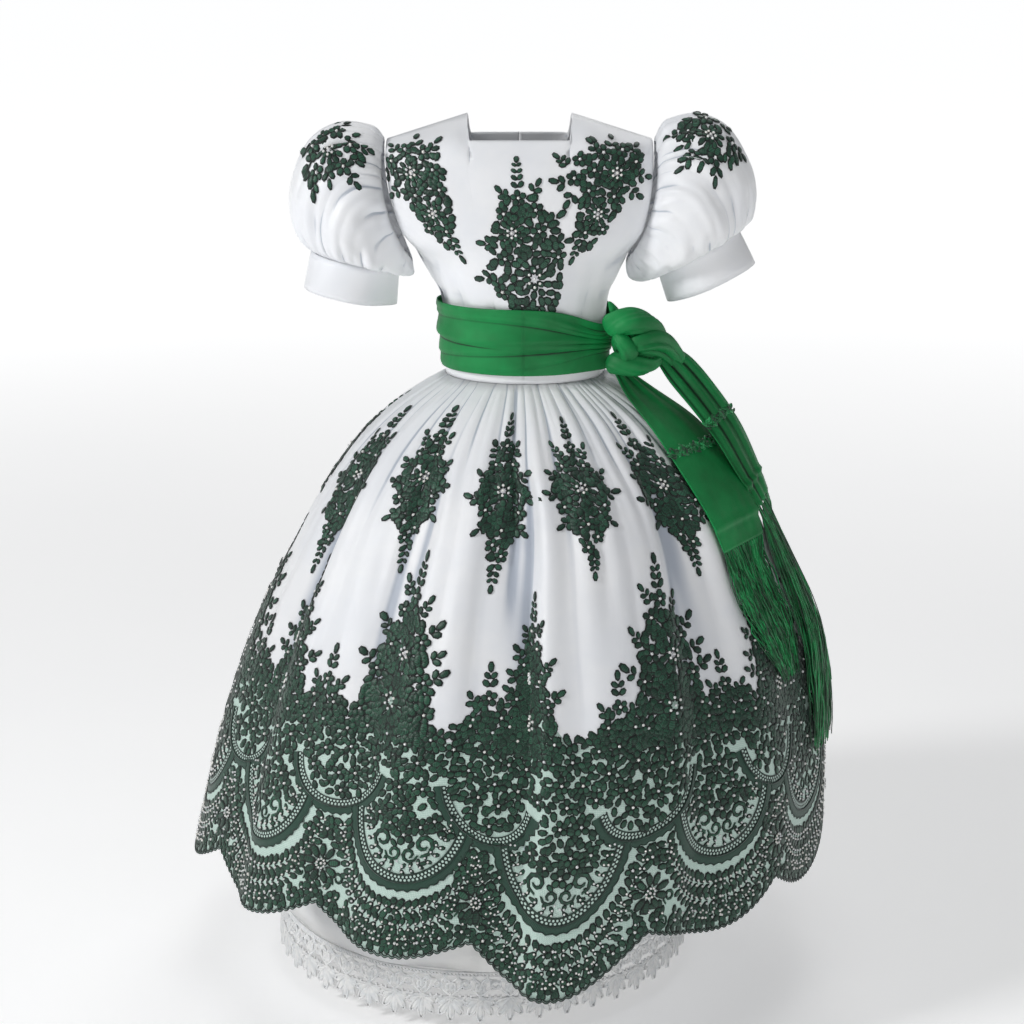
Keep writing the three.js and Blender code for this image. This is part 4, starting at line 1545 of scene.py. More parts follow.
class Machine:
    """A Geometry Nodes tree that turns a carrier mesh into a plain mesh of real geometry."""

    def start(self, name: str, inputs: Sequence[tuple[str, str]]) -> Graph:
        """Starts the tree with its named inputs.

        Args:
            name: the tree's name.
            inputs: name and socket type of each input.

        Returns:
            The graph.
        """
        self.tree = bpy.data.node_groups.new(name, "GeometryNodeTree")
        self.tree.interface.new_socket(name="Carrier", in_out="INPUT", socket_type="NodeSocketGeometry")
        self.sockets = {label: self.tree.interface.new_socket(name=label, in_out="INPUT", socket_type=kind)
                        for label, kind in inputs}
        self.tree.interface.new_socket(name="Lace", in_out="OUTPUT", socket_type="NodeSocketGeometry")
        return Graph(self.tree)

    def end(self, graph: Graph, into: bpy.types.Node, out: bpy.types.Node, made: bpy.types.NodeSocket) -> None:
        """Realizes the instances and sets the material.

        Args:
            graph: the tree that is being written.
            into: its input node.
            out: its output node.
            made: the geometry so far.
        """
        real = graph.add("GeometryNodeRealizeInstances", {0: made})
        dressed = graph.add("GeometryNodeSetMaterial", {"Geometry": real.outputs[0],
                                                        "Material": into.outputs["Material"]})
        self.tree.links.new(dressed.outputs[0], out.inputs[0])

    def run(self, name: str, carrier_mesh: bpy.types.Mesh, inputs: dict) -> bpy.types.Mesh:
        """Runs the tree on a carrier mesh, with a value for each input, and returns the plain mesh.

        Args:
            name: the new mesh's name.
            carrier_mesh: seats or lines.
            inputs: values by input name.

        Returns:
            The mesh.
        """
        carrier = placed("carrier", carrier_mesh)
        modifier = carrier.modifiers.new("machine", "NODES")
        modifier.node_group = self.tree
        for label, value in inputs.items():
            modifier[self.sockets[label].identifier] = value
        graph = bpy.context.evaluated_depsgraph_get()
        mesh = bpy.data.meshes.new_from_object(carrier.evaluated_get(graph), depsgraph=graph)
        bpy.data.objects.remove(carrier)
        mesh.name = name
        smoothed(mesh)
        return mesh


class Sower(Machine):
    """Machine that sets one small shape on every seat of a piece of lace."""

    def __init__(self) -> None:
        """Writes the tree with its inputs."""
        graph = self.start("sow shapes on seats", (("Shape", "NodeSocketObject"), ("Material", "NodeSocketMaterial"),
                                                   ("Height", "NodeSocketFloat")))
        into, out = graph.add("NodeGroupInput"), graph.add("NodeGroupOutput")
        named = {key: graph.add("GeometryNodeInputNamedAttribute", {"Name": key}, data_type="FLOAT").outputs[0]
                 for key in ("turn", "long", "wide")}
        shape = graph.add("GeometryNodeObjectInfo", {"Object": into.outputs["Shape"]})
        turn = graph.add("ShaderNodeCombineXYZ", {2: named["turn"]})
        size = graph.add("ShaderNodeCombineXYZ", {0: named["long"], 1: named["wide"], 2: into.outputs["Height"]})
        sown = graph.add("GeometryNodeInstanceOnPoints", {"Points": into.outputs["Carrier"],
                                                          "Instance": shape.outputs["Geometry"],
                                                          "Rotation": turn.outputs[0], "Scale": size.outputs[0]})
        self.end(graph, into, out, sown.outputs[0])

    def sow(self, name: str, form: Form, seats: Array, template: tuple[Array, Array, Array], height: float,
            material: bpy.types.Material) -> bpy.types.Object:
        """Sets the shape on every seat and wraps the result over the form.

        Args:
            name: the piece's name.
            form: the surface that carries it.
            seats: rows of (a, b, turn, length, width, rise, shade).
            template: points, faces and UV pairs of the shape.
            height: height of one unit of the shape.
            material: its finish.

        Returns:
            The plain mesh piece.
        """
        points, faces, uv = template
        shape = mesh_piece("shape", points, [faces], uv)
        carrier_mesh = bpy.data.meshes.new("seats")
        carrier_mesh.from_pydata(np.zeros((len(seats), 3)).tolist(), [], [])
        for key, column in (("turn", 2), ("long", 3), ("wide", 4), ("shade", 6)):
            set_number(carrier_mesh, key, seats[:, column])
        mesh = self.run(name, carrier_mesh, {"Shape": shape, "Material": material, "Height": height})
        bpy.data.objects.remove(shape)
        local = np.empty(len(mesh.vertices) * 3, np.float32)
        mesh.vertices.foreach_get("co", local)
        local = local.reshape(len(seats), len(points), 3).astype(float)
        a, b, rise = seats[:, 0], seats[:, 1], seats[:, 5]
        _, normal, per_a, per_b = form.frame(a, b)
        spot = form.at(a[:, None] + local[..., 0] / per_a[:, None], b[:, None] + local[..., 1] / per_b[:, None])
        lift = local[..., 2] + rise[:, None]
        wrapped_points = spot + normal[:, None] * lift[..., None]
        mesh.vertices.foreach_set("co", wrapped_points.reshape(-1).astype(np.float32))
        mesh.update()
        return placed(name, mesh)


class Spinner(Machine):
    """Machine that makes round cords along the edges of a mesh of lines."""

    def __init__(self) -> None:
        """Writes the tree with its inputs."""
        graph = self.start("cords along lines", (("Radius", "NodeSocketFloat"), ("Sides", "NodeSocketInt"),
                                                 ("Material", "NodeSocketMaterial")))
        into, out = graph.add("NodeGroupInput"), graph.add("NodeGroupOutput")
        lines = graph.add("GeometryNodeMeshToCurve", {"Mesh": into.outputs["Carrier"]})
        thick = graph.add("GeometryNodeInputNamedAttribute", {"Name": "thick"}, data_type="FLOAT")
        sized = graph.add("GeometryNodeSetCurveRadius", {"Curve": lines.outputs[0], "Radius": thick.outputs[0]})
        ring = graph.add("GeometryNodeCurvePrimitiveCircle", {"Resolution": into.outputs["Sides"],
                                                              "Radius": into.outputs["Radius"]})
        tube = graph.add("GeometryNodeCurveToMesh", {"Curve": sized.outputs[0], "Profile Curve": ring.outputs[0],
                                                     "Fill Caps": True})
        self.end(graph, into, out, tube.outputs[0])

    def spin(self, name: str, lines: Sequence[Array], radius: float, sides: int, material: bpy.types.Material,
             thick: Optional[Sequence[Array]] = None, shade: Optional[Array] = None) -> bpy.types.Object:
        """Makes one piece of cords.

        Args:
            name: the piece's name.
            lines: the points of each cord; one that ends where it starts is closed.
            radius: the cords' radius in metres.
            sides: sides of the cords' section.
            material: the finish.
            thick: share of the radius at each point.
            shade: tone of each cord.

        Returns:
            The plain mesh piece.
        """
        points = np.concatenate(lines)
        starts = np.cumsum([0] + [len(line) for line in lines])
        edges = np.concatenate([np.stack([np.arange(s, e - 1), np.arange(s + 1, e)], -1)
                                for s, e in zip(starts[:-1], starts[1:])])
        mesh = bpy.data.meshes.new("lines")
        mesh.vertices.add(len(points))
        mesh.vertices.foreach_set("co", points.astype(np.float32).ravel())
        mesh.edges.add(len(edges))
        mesh.edges.foreach_set("vertices", edges.astype(np.int32).ravel())
        set_number(mesh, "thick", np.ones(len(points)) if thick is None else np.concatenate(thick))
        tone = np.full(len(lines), 0.5) if shade is None else shade
        set_number(mesh, "shade", np.repeat(tone, [len(line) for line in lines]))
        mesh.update()
        return placed(name, self.run(name, mesh, {"Radius": radius, "Sides": sides, "Material": material}))


@dataclass
class Workshop:
    """What every piece of lace is made with: the two trees and the finishes."""

    sower: Sower
    spinner: Spinner
    leaf: bpy.types.Material
    cord: bpy.types.Material
    pearl: bpy.types.Material
    tulle: bpy.types.Material
    ladder: bpy.types.Material

    def motifs(self) -> tuple:
        """What is sewn besides leaves: name, template, height and finish of each shape.

        Returns:
            One row for each shape.
        """
        return (("scrolls", scroll_template(), LEAF_HEIGHT * MM, self.leaf),
                ("curls", scroll_template(-1), LEAF_HEIGHT * MM, self.leaf),
                ("pearls", pearl_template(), PEARL * MM, self.pearl))


LEAF = (11.5, 8.6)
PEARL = 3.4


@dataclass
class Needlework:
    """Leaves, scrolls and pearls as they are sewn down, in mm from a seat on a form."""

    seed: int
    leaves: list = field(default_factory=list)
    scrolls: list = field(default_factory=list)
    curls: list = field(default_factory=list)
    pearls: list = field(default_factory=list)
    centres: list = field(default_factory=list)
    seat: tuple = (0.0, 0.0)
    lean: float = 0.0
    flip: float = 1.0
    scale: float = 1.0

    def __post_init__(self) -> None:
        """Starts the piece's own random numbers."""
        self.random = np.random.default_rng(self.seed)

    def go(self, a: float, b: float, lean: float = 0.0, flip: float = 1.0, scale: float = 1.0) -> None:
        """Moves the seat: what follows is sewn round it."""
        self.seat, self.lean, self.flip, self.scale = (a, b), math.radians(lean), flip, scale

    def spot(self, x: float, y: float) -> tuple[float, float]:
        """Offsets in mm turned, mirrored and scaled as the seat says, in metres.

        Args:
            x: mm to the side.
            y: mm up.

        Returns:
            The two offsets.
        """
        x, y = x * self.flip * self.scale * MM, y * self.scale * MM
        c, s = math.cos(self.lean), math.sin(self.lean)
        return x * c - y * s, x * s + y * c

    def direction(self, degrees: float) -> float:
        """Direction in radians turned and mirrored as the seat says."""
        turn = math.radians(degrees)
        return (math.pi - turn if self.flip < 0 else turn) + self.lean

    def leaf(self, x: float, y: float, turn: float, length: float = LEAF[0], width: float = LEAF[1],
             rise: float = 0.0) -> None:
        """Sews a leaf whose base lies at (x, y) and that points in a direction.

        Args:
            x: mm to the side.
            y: mm up.
            turn: direction in degrees.
            length: its length in mm.
            width: its width in mm.
            rise: height over the ground in mm.
        """
        px, py = self.spot(x, y)
        wobble = self.random.uniform(-7, 7)
        size = self.random.uniform(0.93, 1.1) * self.scale * MM
        rise = rise + self.random.uniform(0, 0.35)
        self.leaves.append((*self.seat, px, py, self.direction(turn + wobble), length * size, width * size,
                            rise * MM, self.random.uniform(0, 1)))

    def pearl(self, x: float, y: float, size: float = PEARL, rise: float = 0.7) -> None:
        """Sews a pearl."""
        px, py = self.spot(x, y)
        self.pearls.append((*self.seat, px, py, 0.0, size * MM, size * MM, rise * MM, self.random.uniform(0, 1)))

    def scroll(self, x: float, y: float, turn: float, size: float, hand: float = 1.0) -> None:
        """Sews a curl of a size, winding to one hand.

        Args:
            x: mm to the side.
            y: mm up.
            turn: direction in degrees.
            size: its width in mm.
            hand: 1 or -1, the side that it winds to.
        """
        px, py = self.spot(x, y)
        size = size * self.scale * MM
        kept = self.scrolls if hand * self.flip > 0 else self.curls
        kept.append((*self.seat, px, py, self.direction(turn), size, size, 0.3 * MM, self.random.uniform(0, 1)))

    def flower(self, x: float, y: float, radius: float = 8.5, petals: int = 5, turn: float = 90.0) -> None:
        """Sews a flower of round petals with one pearl.

        Args:
            x: mm to the side.
            y: mm up.
            radius: its radius in mm.
            petals: how many petals.
            turn: direction of the first petal.
        """
        start = turn + self.random.uniform(-20, 20)
        for n in range(petals):
            way = start + n * 360 / petals
            c, s = heading(way)
            self.leaf(x + 0.14 * radius * c, y + 0.14 * radius * s, way, radius, 4.9 / petals * radius, 0.3)
        self.pearl(x, y)
        self.centres.append((*self.seat, *self.spot(x, y), radius * self.scale * MM))

    def blossom(self, x: float, y: float, radius: float = 18.0) -> None:
        """Sews a large many-petalled flower with seven pearls.

        Args:
            x: mm to the side.
            y: mm up.
            radius: its radius in mm.
        """
        for count, base, length, width, rise in ((10, 0.42, 0.60, 0.46, 0.1), (8, 0.14, 0.52, 0.40, 0.6)):
            start = self.random.uniform(0, 40)
            for n in range(count):
                way = start + n * 360 / count
                c, s = heading(way)
                self.leaf(x + base * radius * c, y + base * radius * s, way, length * radius, width * radius, rise)
        for n in range(6):
            c, s = math.cos(n * math.pi / 3 + 0.5), math.sin(n * math.pi / 3 + 0.5)
            self.pearl(x + 0.30 * radius * c, y + 0.30 * radius * s, rise=1.2)
        self.pearl(x, y, rise=1.2)
        self.centres.append((*self.seat, *self.spot(x, y), radius * self.scale * MM))

    def sprig(self, x: float, y: float, turn: float, pairs: int = 1, size: float = 1.0, pearls: bool = False) -> None:
        """Sews a stem of paired leaves that ends in one leaf.

        Args:
            x: mm to the side of its foot.
            y: mm up of its foot.
            turn: direction in degrees.
            pairs: how many pairs.
            size: size of the leaves.
            pearls: whether pearls sit between the pairs.
        """
        c, s = heading(turn)
        step = 8.0 * size
        for n in range(pairs):
            px, py = x + c * step * n, y + s * step * n
            grown = size * (1.0 - 0.12 * n)
            for side in (-1, 1):
                self.leaf(px, py, turn + side * 48, 10.5 * grown, 8.0 * grown)
            if pearls:
                self.pearl(px, py)
        end = step * pairs - 2 * size
        self.leaf(x + c * end, y + s * end, turn, 13.0 * size, 8.2 * size, 0.2)

    def filling(self, half_width: Callable[[float], tuple[float, float]], low: float, high: float,
                spacing: float = 6.4, size: float = 1.0) -> None:
        """Fills what is left of an outline with leaves that point away from the nearest flower.

        Args:
            half_width: left and right limits in mm at a height.
            low: lowest height in mm.
            high: highest height in mm.
            spacing: distance between leaves in mm.
            size: size of the leaves.
        """
        here = [(c[2], c[3], c[4]) for c in self.centres if c[:2] == self.seat]
        taken = [(l[2] + math.cos(l[4]) * l[5] / 2, l[3] + math.sin(l[4]) * l[5] / 2)
                 for l in self.leaves if l[:2] == self.seat]
        taken = np.array(taken or [(9, 9)])
        for y in np.arange(low, high, spacing):
            left, right = half_width(y)
            count = int((right - left) / spacing)
            for n in range(count + 1):
                x = left + (n + 0.5) * (right - left) / (count + 1) + self.random.uniform(-2, 2)
                yy = y + self.random.uniform(-2.4, 2.4)
                px, py = self.spot(x, yy)
                if np.hypot(*(taken - (px, py)).T).min() < 3.6 * self.scale * MM:
                    continue
                if any(math.hypot(px - cx, py - cy) < 0.62 * radius for cx, cy, radius in here):
                    continue
                way = self.random.uniform(20, 160)
                if here:
                    cx, cy, _ = min(here, key=lambda c: math.hypot(px - c[0], py - c[1]))
                    way = math.degrees(math.atan2(py - cy, (px - cx) * self.flip) - self.lean * self.flip)
                    way += self.random.uniform(-30, 30)
                c, s = heading(way)
                grown = size * self.random.uniform(0.9, 1.2)
                self.leaf(x - 5 * c, yy - 5 * s, way, LEAF[0] * grown, LEAF[1] * grown)

    def seats(self, rows: list, form: Form, hem: Optional[Callable] = None) -> Array:
        """Rows as seats on the form, each leaf with a place of its own.

        Args:
            rows: leaves, scrolls or pearls.
            form: the surface.
            hem: gives the hem line's height at angles, where the seats count from the hem.

        Returns:
            Rows of (a, b, turn, length, width, rise, shade).
        """
        table = np.array(rows, float).reshape(-1, 9)
        a0, b0, x, y = table[:, :4].T
        if hem is None:
            a, b = form.move(a0, b0, x, y)
            turn = table[:, 4]
        else:
            a, _ = form.move(a0, hem(a0), x, y * 0)
            rate = form.frame(a, hem(a))[3]
            b = hem(a) + (b0 + y) / rate
            slope = (hem(a + 0.5) - hem(a - 0.5)) / form.frame(a, b)[2]
            turn = table[:, 4] + np.arctan(slope)
        seats = np.column_stack([a, b, turn, table[:, 5], table[:, 6], table[:, 7] + LACE_NEAR, table[:, 8]])
        return seats[(np.abs(a) < form.limit) & (b < form.top)]


@dataclass
class Patch:
    """One sewn-on piece of lace with its leaves, scrolls and pearls."""

    name: str
    nodes: tuple
    form: Form
    work: Needlework
    flat: tuple
    rests_on: str

    def build(self, shop: Workshop) -> None:
        """Makes and dresses the patch.

        Args:
            shop: the trees and finishes for lace.
        """
        seats = self.work.seats(self.work.leaves, self.form)
        leaves = shop.sower.sow(f"{self.name}_leaves", self.form, seats, leaf_template(), LEAF_HEIGHT * MM, shop.leaf)
        dress(leaves, shop.leaf, "green_lace", *self.nodes)
        for label, template, height, finish in shop.motifs():
            rows = getattr(self.work, label)
            if rows:
                piece = shop.sower.sow(f"{self.name}_{label}", self.form, self.work.seats(rows, self.form), template,
                                       height, finish)
                dress(piece, finish, "green_lace")


def profile(*rows: tuple[float, float, float]) -> Callable[[float], tuple[float, float]]:
    """Left and right limits of an outline, from rows of (height, left, right) in mm, top first."""
    table = np.array(rows)[::-1]
    return lambda y: (float(np.interp(y, table[:, 0], table[:, 1])), float(np.interp(y, table[:, 0], table[:, 2])))


@dataclass
class Appliques:
    """The diamond-shaped appliques round the upper skirt."""

    form: SkirtForm
    angles: tuple = (-67.5, -37.5, -8, 15, 42, 71, 99, 126, 153, 180, 207, 234, 261)
    tops: tuple = (-0.318, -0.309, -0.311, -0.314, -0.316, -0.318, -0.314, -0.318, -0.312, -0.316, -0.313, -0.318,
                   -0.314)
    flat: tuple = (0.078, 0.215, 0.0100)

    def design(self, work: Needlework) -> None:
        """Sews one diamond down from its top.

        Args:
            work: the lace that it is sewn into.
        """
        work.sprig(0, -30, 90, 3, 0.95)
        work.flower(0, -42, 8)
        work.sprig(-12, -56, 116, 2, 0.85)
        work.sprig(13, -54, 62, 2, 0.85)
        work.flower(-13, -66, 8)
        work.flower(14, -66, 8)
        work.sprig(-25, -82, 140, 1, 0.9)
        work.sprig(26, -80, 38, 1, 0.9)
        work.blossom(0, -94, 19)
        work.sprig(-30, -104, 166, 1)
        work.sprig(31, -102, 14, 1)
        work.flower(-22, -116)
        work.flower(24, -119)
        work.scroll(-7, -122, 200, 15)
        work.scroll(11, -127, -20, 15, -1)
        work.flower(2, -140)
        work.sprig(-19, -134, 212, 1)
        work.sprig(21, -138, -30, 1)
        work.flower(-7, -157, 7)
        work.flower(5, -168, 7)
        work.sprig(0, -176, -90, 3, 0.9)
        work.filling(profile((0, -2, 2), (-42, -7, 7), (-60, -19, 19), (-94, -31, 31), (-118, -29, 29),
                             (-145, -17, 18), (-172, -6, 7), (-200, -2, 2)), -172, -48)

    def build(self, shop: Workshop) -> None:
        """Makes the thirteen diamonds.

        Args:
            shop: the trees and finishes for lace.
        """
        for n, (angle, top) in enumerate(zip(self.angles, self.tops)):
            work = Needlework(seed=100 + n)
            work.go(angle, top, work.random.uniform(-4, 4), -1 if n % 2 else 1, work.random.uniform(0.97, 1.04))
            self.design(work)
            under = next(panel for panel in Panel if panel.spans(angle))
            Patch(f"diamond_{n + 1:02d}", (f"lace_diamond_{n + 1:02d}",), self.form, work, self.flat,
                  f"skirt_{under.label}_satin").build(shop)


@dataclass
class BodiceLace:
    """Appliques on the bodice front and on top of the puffs."""

    bodice: BodiceForm
    left_sleeve: SleeveForm
    right_sleeve: SleeveForm
    side_flat: tuple = (0.075, 0.15, 0.0075)
    centre_flat: tuple = (0.09, 0.175, 0.0105)
    sleeve_flat: tuple = (0.085, 0.085, 0.0055)

    def seat(self, x: float, z: float) -> tuple[float, float]:
        """Share and level of the bodice's place at (x, z) in mm.

        Args:
            x: to the wearer's left.
            z: upwards.

        Returns:
            The nearest a and b.
        """
        a, b = np.meshgrid(np.linspace(-1, 1, 201), -np.linspace(0, 10, 201), indexing="ij")
        points = self.bodice.at(a, b) / MM
        at = np.argmin(np.hypot(points[..., 0] - x, points[..., 2] - z))
        return float(a.flat[at]), float(b.flat[at])

    def centre(self, work: Needlework) -> None:
        """Sews the middle applique.

        Args:
            work: the lace that it is sewn into.
        """
        work.sprig(-4, 44, 92, 4, 0.95)
        work.flower(-4, 33, 8)
        work.sprig(12, 40, 58, 1, 0.9)
        work.sprig(-17, 34, 132, 1, 0.9)
        work.flower(14, 20)
        work.flower(-20, 16)
        work.blossom(-12, -4, 16)
        work.flower(17, -2)
        work.sprig(30, 8, 34, 1)
        work.sprig(36, -14, 8, 1)
        work.blossom(10, -49, 21)
        work.flower(-20, -32)
        work.flower(-24, -60, 8)
        work.flower(36, -30)
        work.sprig(-33, -16, 172, 1)
        work.sprig(-36, -48, 190, 1)
        work.scroll(2, -24, 30, 15)
        work.sprig(14, -74, -82, 2, 0.9)
        work.sprig(-10, -72, -110, 1, 0.9)
        work.filling(profile((78, -6, 2), (45, -12, 8), (20, -28, 26), (-10, -33, 36), (-50, -36, 42),
                             (-72, -26, 32), (-88, -6, 20)), -84, 36, 7.3)

    def side(self, work: Needlework) -> None:
        """Sews a side applique, which narrows down towards the middle.

        Args:
            work: the lace that it is sewn into.
        """
        work.sprig(-20, 24, 122, 1, 0.9)
        work.sprig(2, 27, 86, 1)
        work.sprig(20, 22, 50, 1, 0.9)
        work.flower(-9, 24)
        work.flower(12, 20)
        work.flower(-24, 10)
        work.blossom(-3, -2, 17)
        work.flower(22, 2)
        work.flower(27, -20)
        work.sprig(-28, -6, 188, 1)
        work.sprig(-20, -22, 214, 1)
        work.flower(-1, -27)
        work.blossom(15, -44, 14)
        work.flower(7, -61, 7)
        work.flower(26, -64, 7)
        work.sprig(28, -72, -72, 3, 0.9)
        work.filling(profile((42, -22, 20), (20, -30, 28), (0, -28, 34), (-25, -16, 37), (-50, -3, 36),
                             (-75, 14, 34), (-95, 24, 32)), -80, 30, 7.3)

    def puff(self, work: Needlework) -> None:
        """Sews the applique on top of a puff.

        Args:
            work: the lace that it is sewn into.
        """
        work.blossom(0, 0, 14)
        for turn, far in ((20, 20), (85, 19), (150, 21), (215, 20), (290, 21)):
            c, s = heading(turn)
            work.flower(far * c, far * s, 7.5)
            work.sprig((far + 8) * c, (far + 8) * s, turn, 1, 0.9)
        for turn in (52, 118, 182, 250, 330):
            c, s = heading(turn)
            work.sprig(19 * c, 19 * s, turn, 1, 0.8)

    def build(self, shop: Workshop) -> None:
        """Makes the five appliques.

        Args:
            shop: the trees and finishes for lace.
        """
        work = Needlework(seed=31)
        work.go(*self.seat(4, -116))
        self.centre(work)
        Patch("bodice_centre", ("lace_bodice_centre",), self.bodice, work, self.centre_flat,
              "bodice_front_satin").build(shop)
        for label, x, flip, seed in (("right", -112, 1.0, 32), ("left", 100, -1.0, 33)):
            work = Needlework(seed=seed)
            work.go(*self.seat(x, -58), 0.0, flip)
            self.side(work)
            if label == "left":
                work.flower(44, -6)
                work.flower(38, 14, 8)
                work.sprig(52, 8, 50, 2, 0.9)
                work.sprig(54, -12, 10, 1)
                work.sprig(44, -24, -60, 1)
            Patch(f"bodice_{label}", (f"lace_bodice_{label}",), self.bodice, work, self.side_flat,
                  "bodice_front_satin").build(shop)
        for label, form, angle, seed in (("left", self.left_sleeve, -34, 34), ("right", self.right_sleeve, 40, 35)):
            work = Needlework(seed=seed)
            work.go(angle, -2.5, 0.0, 1.0, 1.2)
            self.puff(work)
            work.filling(profile((27, -12, 12), (0, -25, 25), (-28, -12, 12)), -26, 26)
            Patch(f"sleeve_lace_{label}", (f"lace_sleeve_{label}",), form, work, self.sleeve_flat,
                  f"sleeve_{label}_satin").build(shop)


@dataclass(frozen=True)
class Swag:
    """A hanging band of lace: share of the half scallop that it spans, heights over the hem line in mm."""

    reach: float
    bottom: float
    top: float
    width: float = 17.0
    ruffle: float = 1.3
    ruffle_pitch: float = 9.0


@dataclass
class Border:
    """The deep lace border: net ground, tall points, flowers, ladder swags, garlands and scalloped edge."""

    form: SkirtForm
    point_angles: tuple = (-85.5, -57, -27, 1, 30, 57, 85.5, 112.5, 139.5, 166.5, 193.5, 220.5, 247.5)
    point_tops: tuple = (-0.448, -0.462, -0.438, -0.470, -0.440, -0.478, -0.446, -0.456, -0.440, -0.452, -0.444,
                         -0.458, -0.442)
    low_point_angles: tuple = (-71, -43, -8, 17, 43, 71, 99, 126, 153, 180, 207, 234, 261)
    body_top: float = -0.598
    deep: Swag = Swag(0.72, 48, 112)
    high: Swag = Swag(0.62, 106, 152, 15.0)
    swag_turn: float = 1.35
    ladder_shares: tuple = (-1, -0.8, -0.35, 0.0, 0.12, 0.55, 0.9, 1.0)
    ladder_lifts: tuple = (0.1, 0.7, 0.9, 0.9, 0.35, 0.35, 0.35, 0.1)
    ladder_steps: int = 60
    edge_pitch: float = 7.6
    edge_wave: float = 2.6
    cord_radius: float = 0.9
    cord_step: float = 1.6
    net_steps: int = 4
    net_rows: int = 12
    flats: dict = field(default_factory=lambda: {Panel.FRONT: (1.20, 0.27, 0.255),
                                                 Panel.BACK_LEFT: (0.61, 0.26, 0.122),
                                                 Panel.BACK_RIGHT: (0.61, 0.26, 0.122)})

    def __post_init__(self) -> None:
        """Works out the scallops in order of angle."""
        tips = np.sort(self.form.tips())
        self._tips = tips
        after = np.append(tips[1:], tips[0] + 360)
        self._valleys = (tips + after) / 2
        self._per_degree = float(self.form.frame(np.array([60.0]), np.array([-0.78]))[2][0])

    def edge(self, angle: Array) -> Array:
        """Height of the lace edge with its row of small scallops."""
        along = angle * self._per_degree / (self.edge_pitch * MM)
        return self.form.hem_at(angle) + self.edge_wave * MM * (1 - np.abs(np.sin(np.pi * along)))

    def place(self, angle: float, x: Array, height: Array, lift: Number) -> Array:
        """Points at x metres from an angle and a height in metres over the hem line.

        Args:
            angle: angle to count from, in degrees.
            x: metres along the border.
            height: metres over the hem line.
            lift: metres off the ground.

        Returns:
            Points in metres, one for each place.
        """
        a = angle + x / self._per_degree
        base = self.form.hem_line(a)
        rate = self.form.frame(a, base)[3]
        point, normal, _, _ = self.form.frame(a, base + height / rate)
        return point + normal * (LACE_NEAR + np.broadcast_to(lift, np.shape(x)))[..., None]

    def path(self, swag: Swag, half: float, steps: int) -> tuple[Array, Array]:
        """Middle line of a swag: x and height in metres.

        Args:
            swag: the swag.
            half: half of its scallop's width in metres.
            steps: points along it.

        Returns:
            The two rows of numbers.
        """
        turn = np.linspace(-self.swag_turn, self.swag_turn, steps)
        x = half * swag.reach * np.sin(turn) / math.sin(self.swag_turn)
        height = swag.bottom + (swag.top - swag.bottom) * (1 - np.cos(turn)) / (1 - math.cos(self.swag_turn))
        return x, height * MM

    def bands(self, shop: Workshop) -> tuple[list, list]:
        """Makes the ladder bands; returns the cords along them and their middle lines.

        Args:
            shop: the trees and finishes for lace.

        Returns:
            The cords, and rows of (angle, x, height).
        """
        points, faces, uvs, cords, middles = [], [], [], [], []
        across, lifts = np.array(self.ladder_shares), np.array(self.ladder_lifts) * MM
        count = 0
        for swag, centres in ((self.high, self._valleys), (self.deep, self._tips)):
            for angle in centres:
                others = self._tips if swag is self.high else self._valleys
                gap = np.sort(np.abs(wrapped(others - angle)))[:2].mean()
                x, height = self.path(swag, gap * self._per_degree, self.ladder_steps)
                middles.append((angle, x, height))
                down = unit(np.stack([np.gradient(height), -np.gradient(x)], -1))
                along = run_along(x, height)
                ruffle = swag.ruffle * MM * np.sin(2 * np.pi * along / (swag.ruffle_pitch * MM))
                grid = []
                for share, lift in zip(across, lifts):
                    wavy = {-1: 1.0, -0.8: 0.6}.get(share, 0.0) * ruffle
                    off = -share * swag.width / 2 * MM + wavy
                    raised = lift + (0.5 * MM if swag is self.deep else 0)
                    line = self.place(angle, x + down[:, 0] * off, height + down[:, 1] * off, raised)
                    grid.append(line)
                    if share in (-1, 0.0, 1.0):
                        cords.append(line)
                grid = np.stack(grid, 1)[:, ::-1]
                points.append(grid.reshape(-1, 3))
                flat = np.broadcast_arrays(along[:, None], across[::-1] * swag.width / 2 * MM)
                uvs.append(np.stack(flat, -1).reshape(-1, 2))
                faces.append(grid_faces(*grid.shape[:2]) + count)
                count += grid.shape[0] * grid.shape[1]
        piece = mesh_piece("border_ladders", np.concatenate(points), [np.concatenate(faces)], np.concatenate(uvs))
        dress(piece, shop.ladder, "green_lace")
        self._extras = [piece]
        return cords, middles

    def garland(self, work: Needlework, x: Array, height: Array, step: float, size: float) -> None:
        """Sews paired leaves with a pearl at their feet along a line given in metres.

        Args:
            work: the lace that it is sewn into.
            x: the line's x.
            height: the line's heights.
            step: mm from pair to pair.
            size: size of the leaves.
        """
        along = run_along(x, height)
        for at in np.arange(step / 2, along[-1] / MM, step) * MM:
            px, py = np.interp(at, along, x) / MM, np.interp(at, along, height) / MM
            qx, qy = np.interp(at + 2 * MM, along, x) / MM, np.interp(at + 2 * MM, along, height) / MM
            way = math.degrees(math.atan2(qy - py, qx - px)) if at + 2 * MM < along[-1] else 0.0
            outward = way if px >= 0 else way + 180
            for side in (-1, 1):
                c, s = heading(outward + side * 58)
                work.leaf(px, py, outward + side * 58, 9.5 * size, 6.2 * size)
                work.pearl(px + 3.2 * c, py + 3.2 * s, 2.6, 1.0)

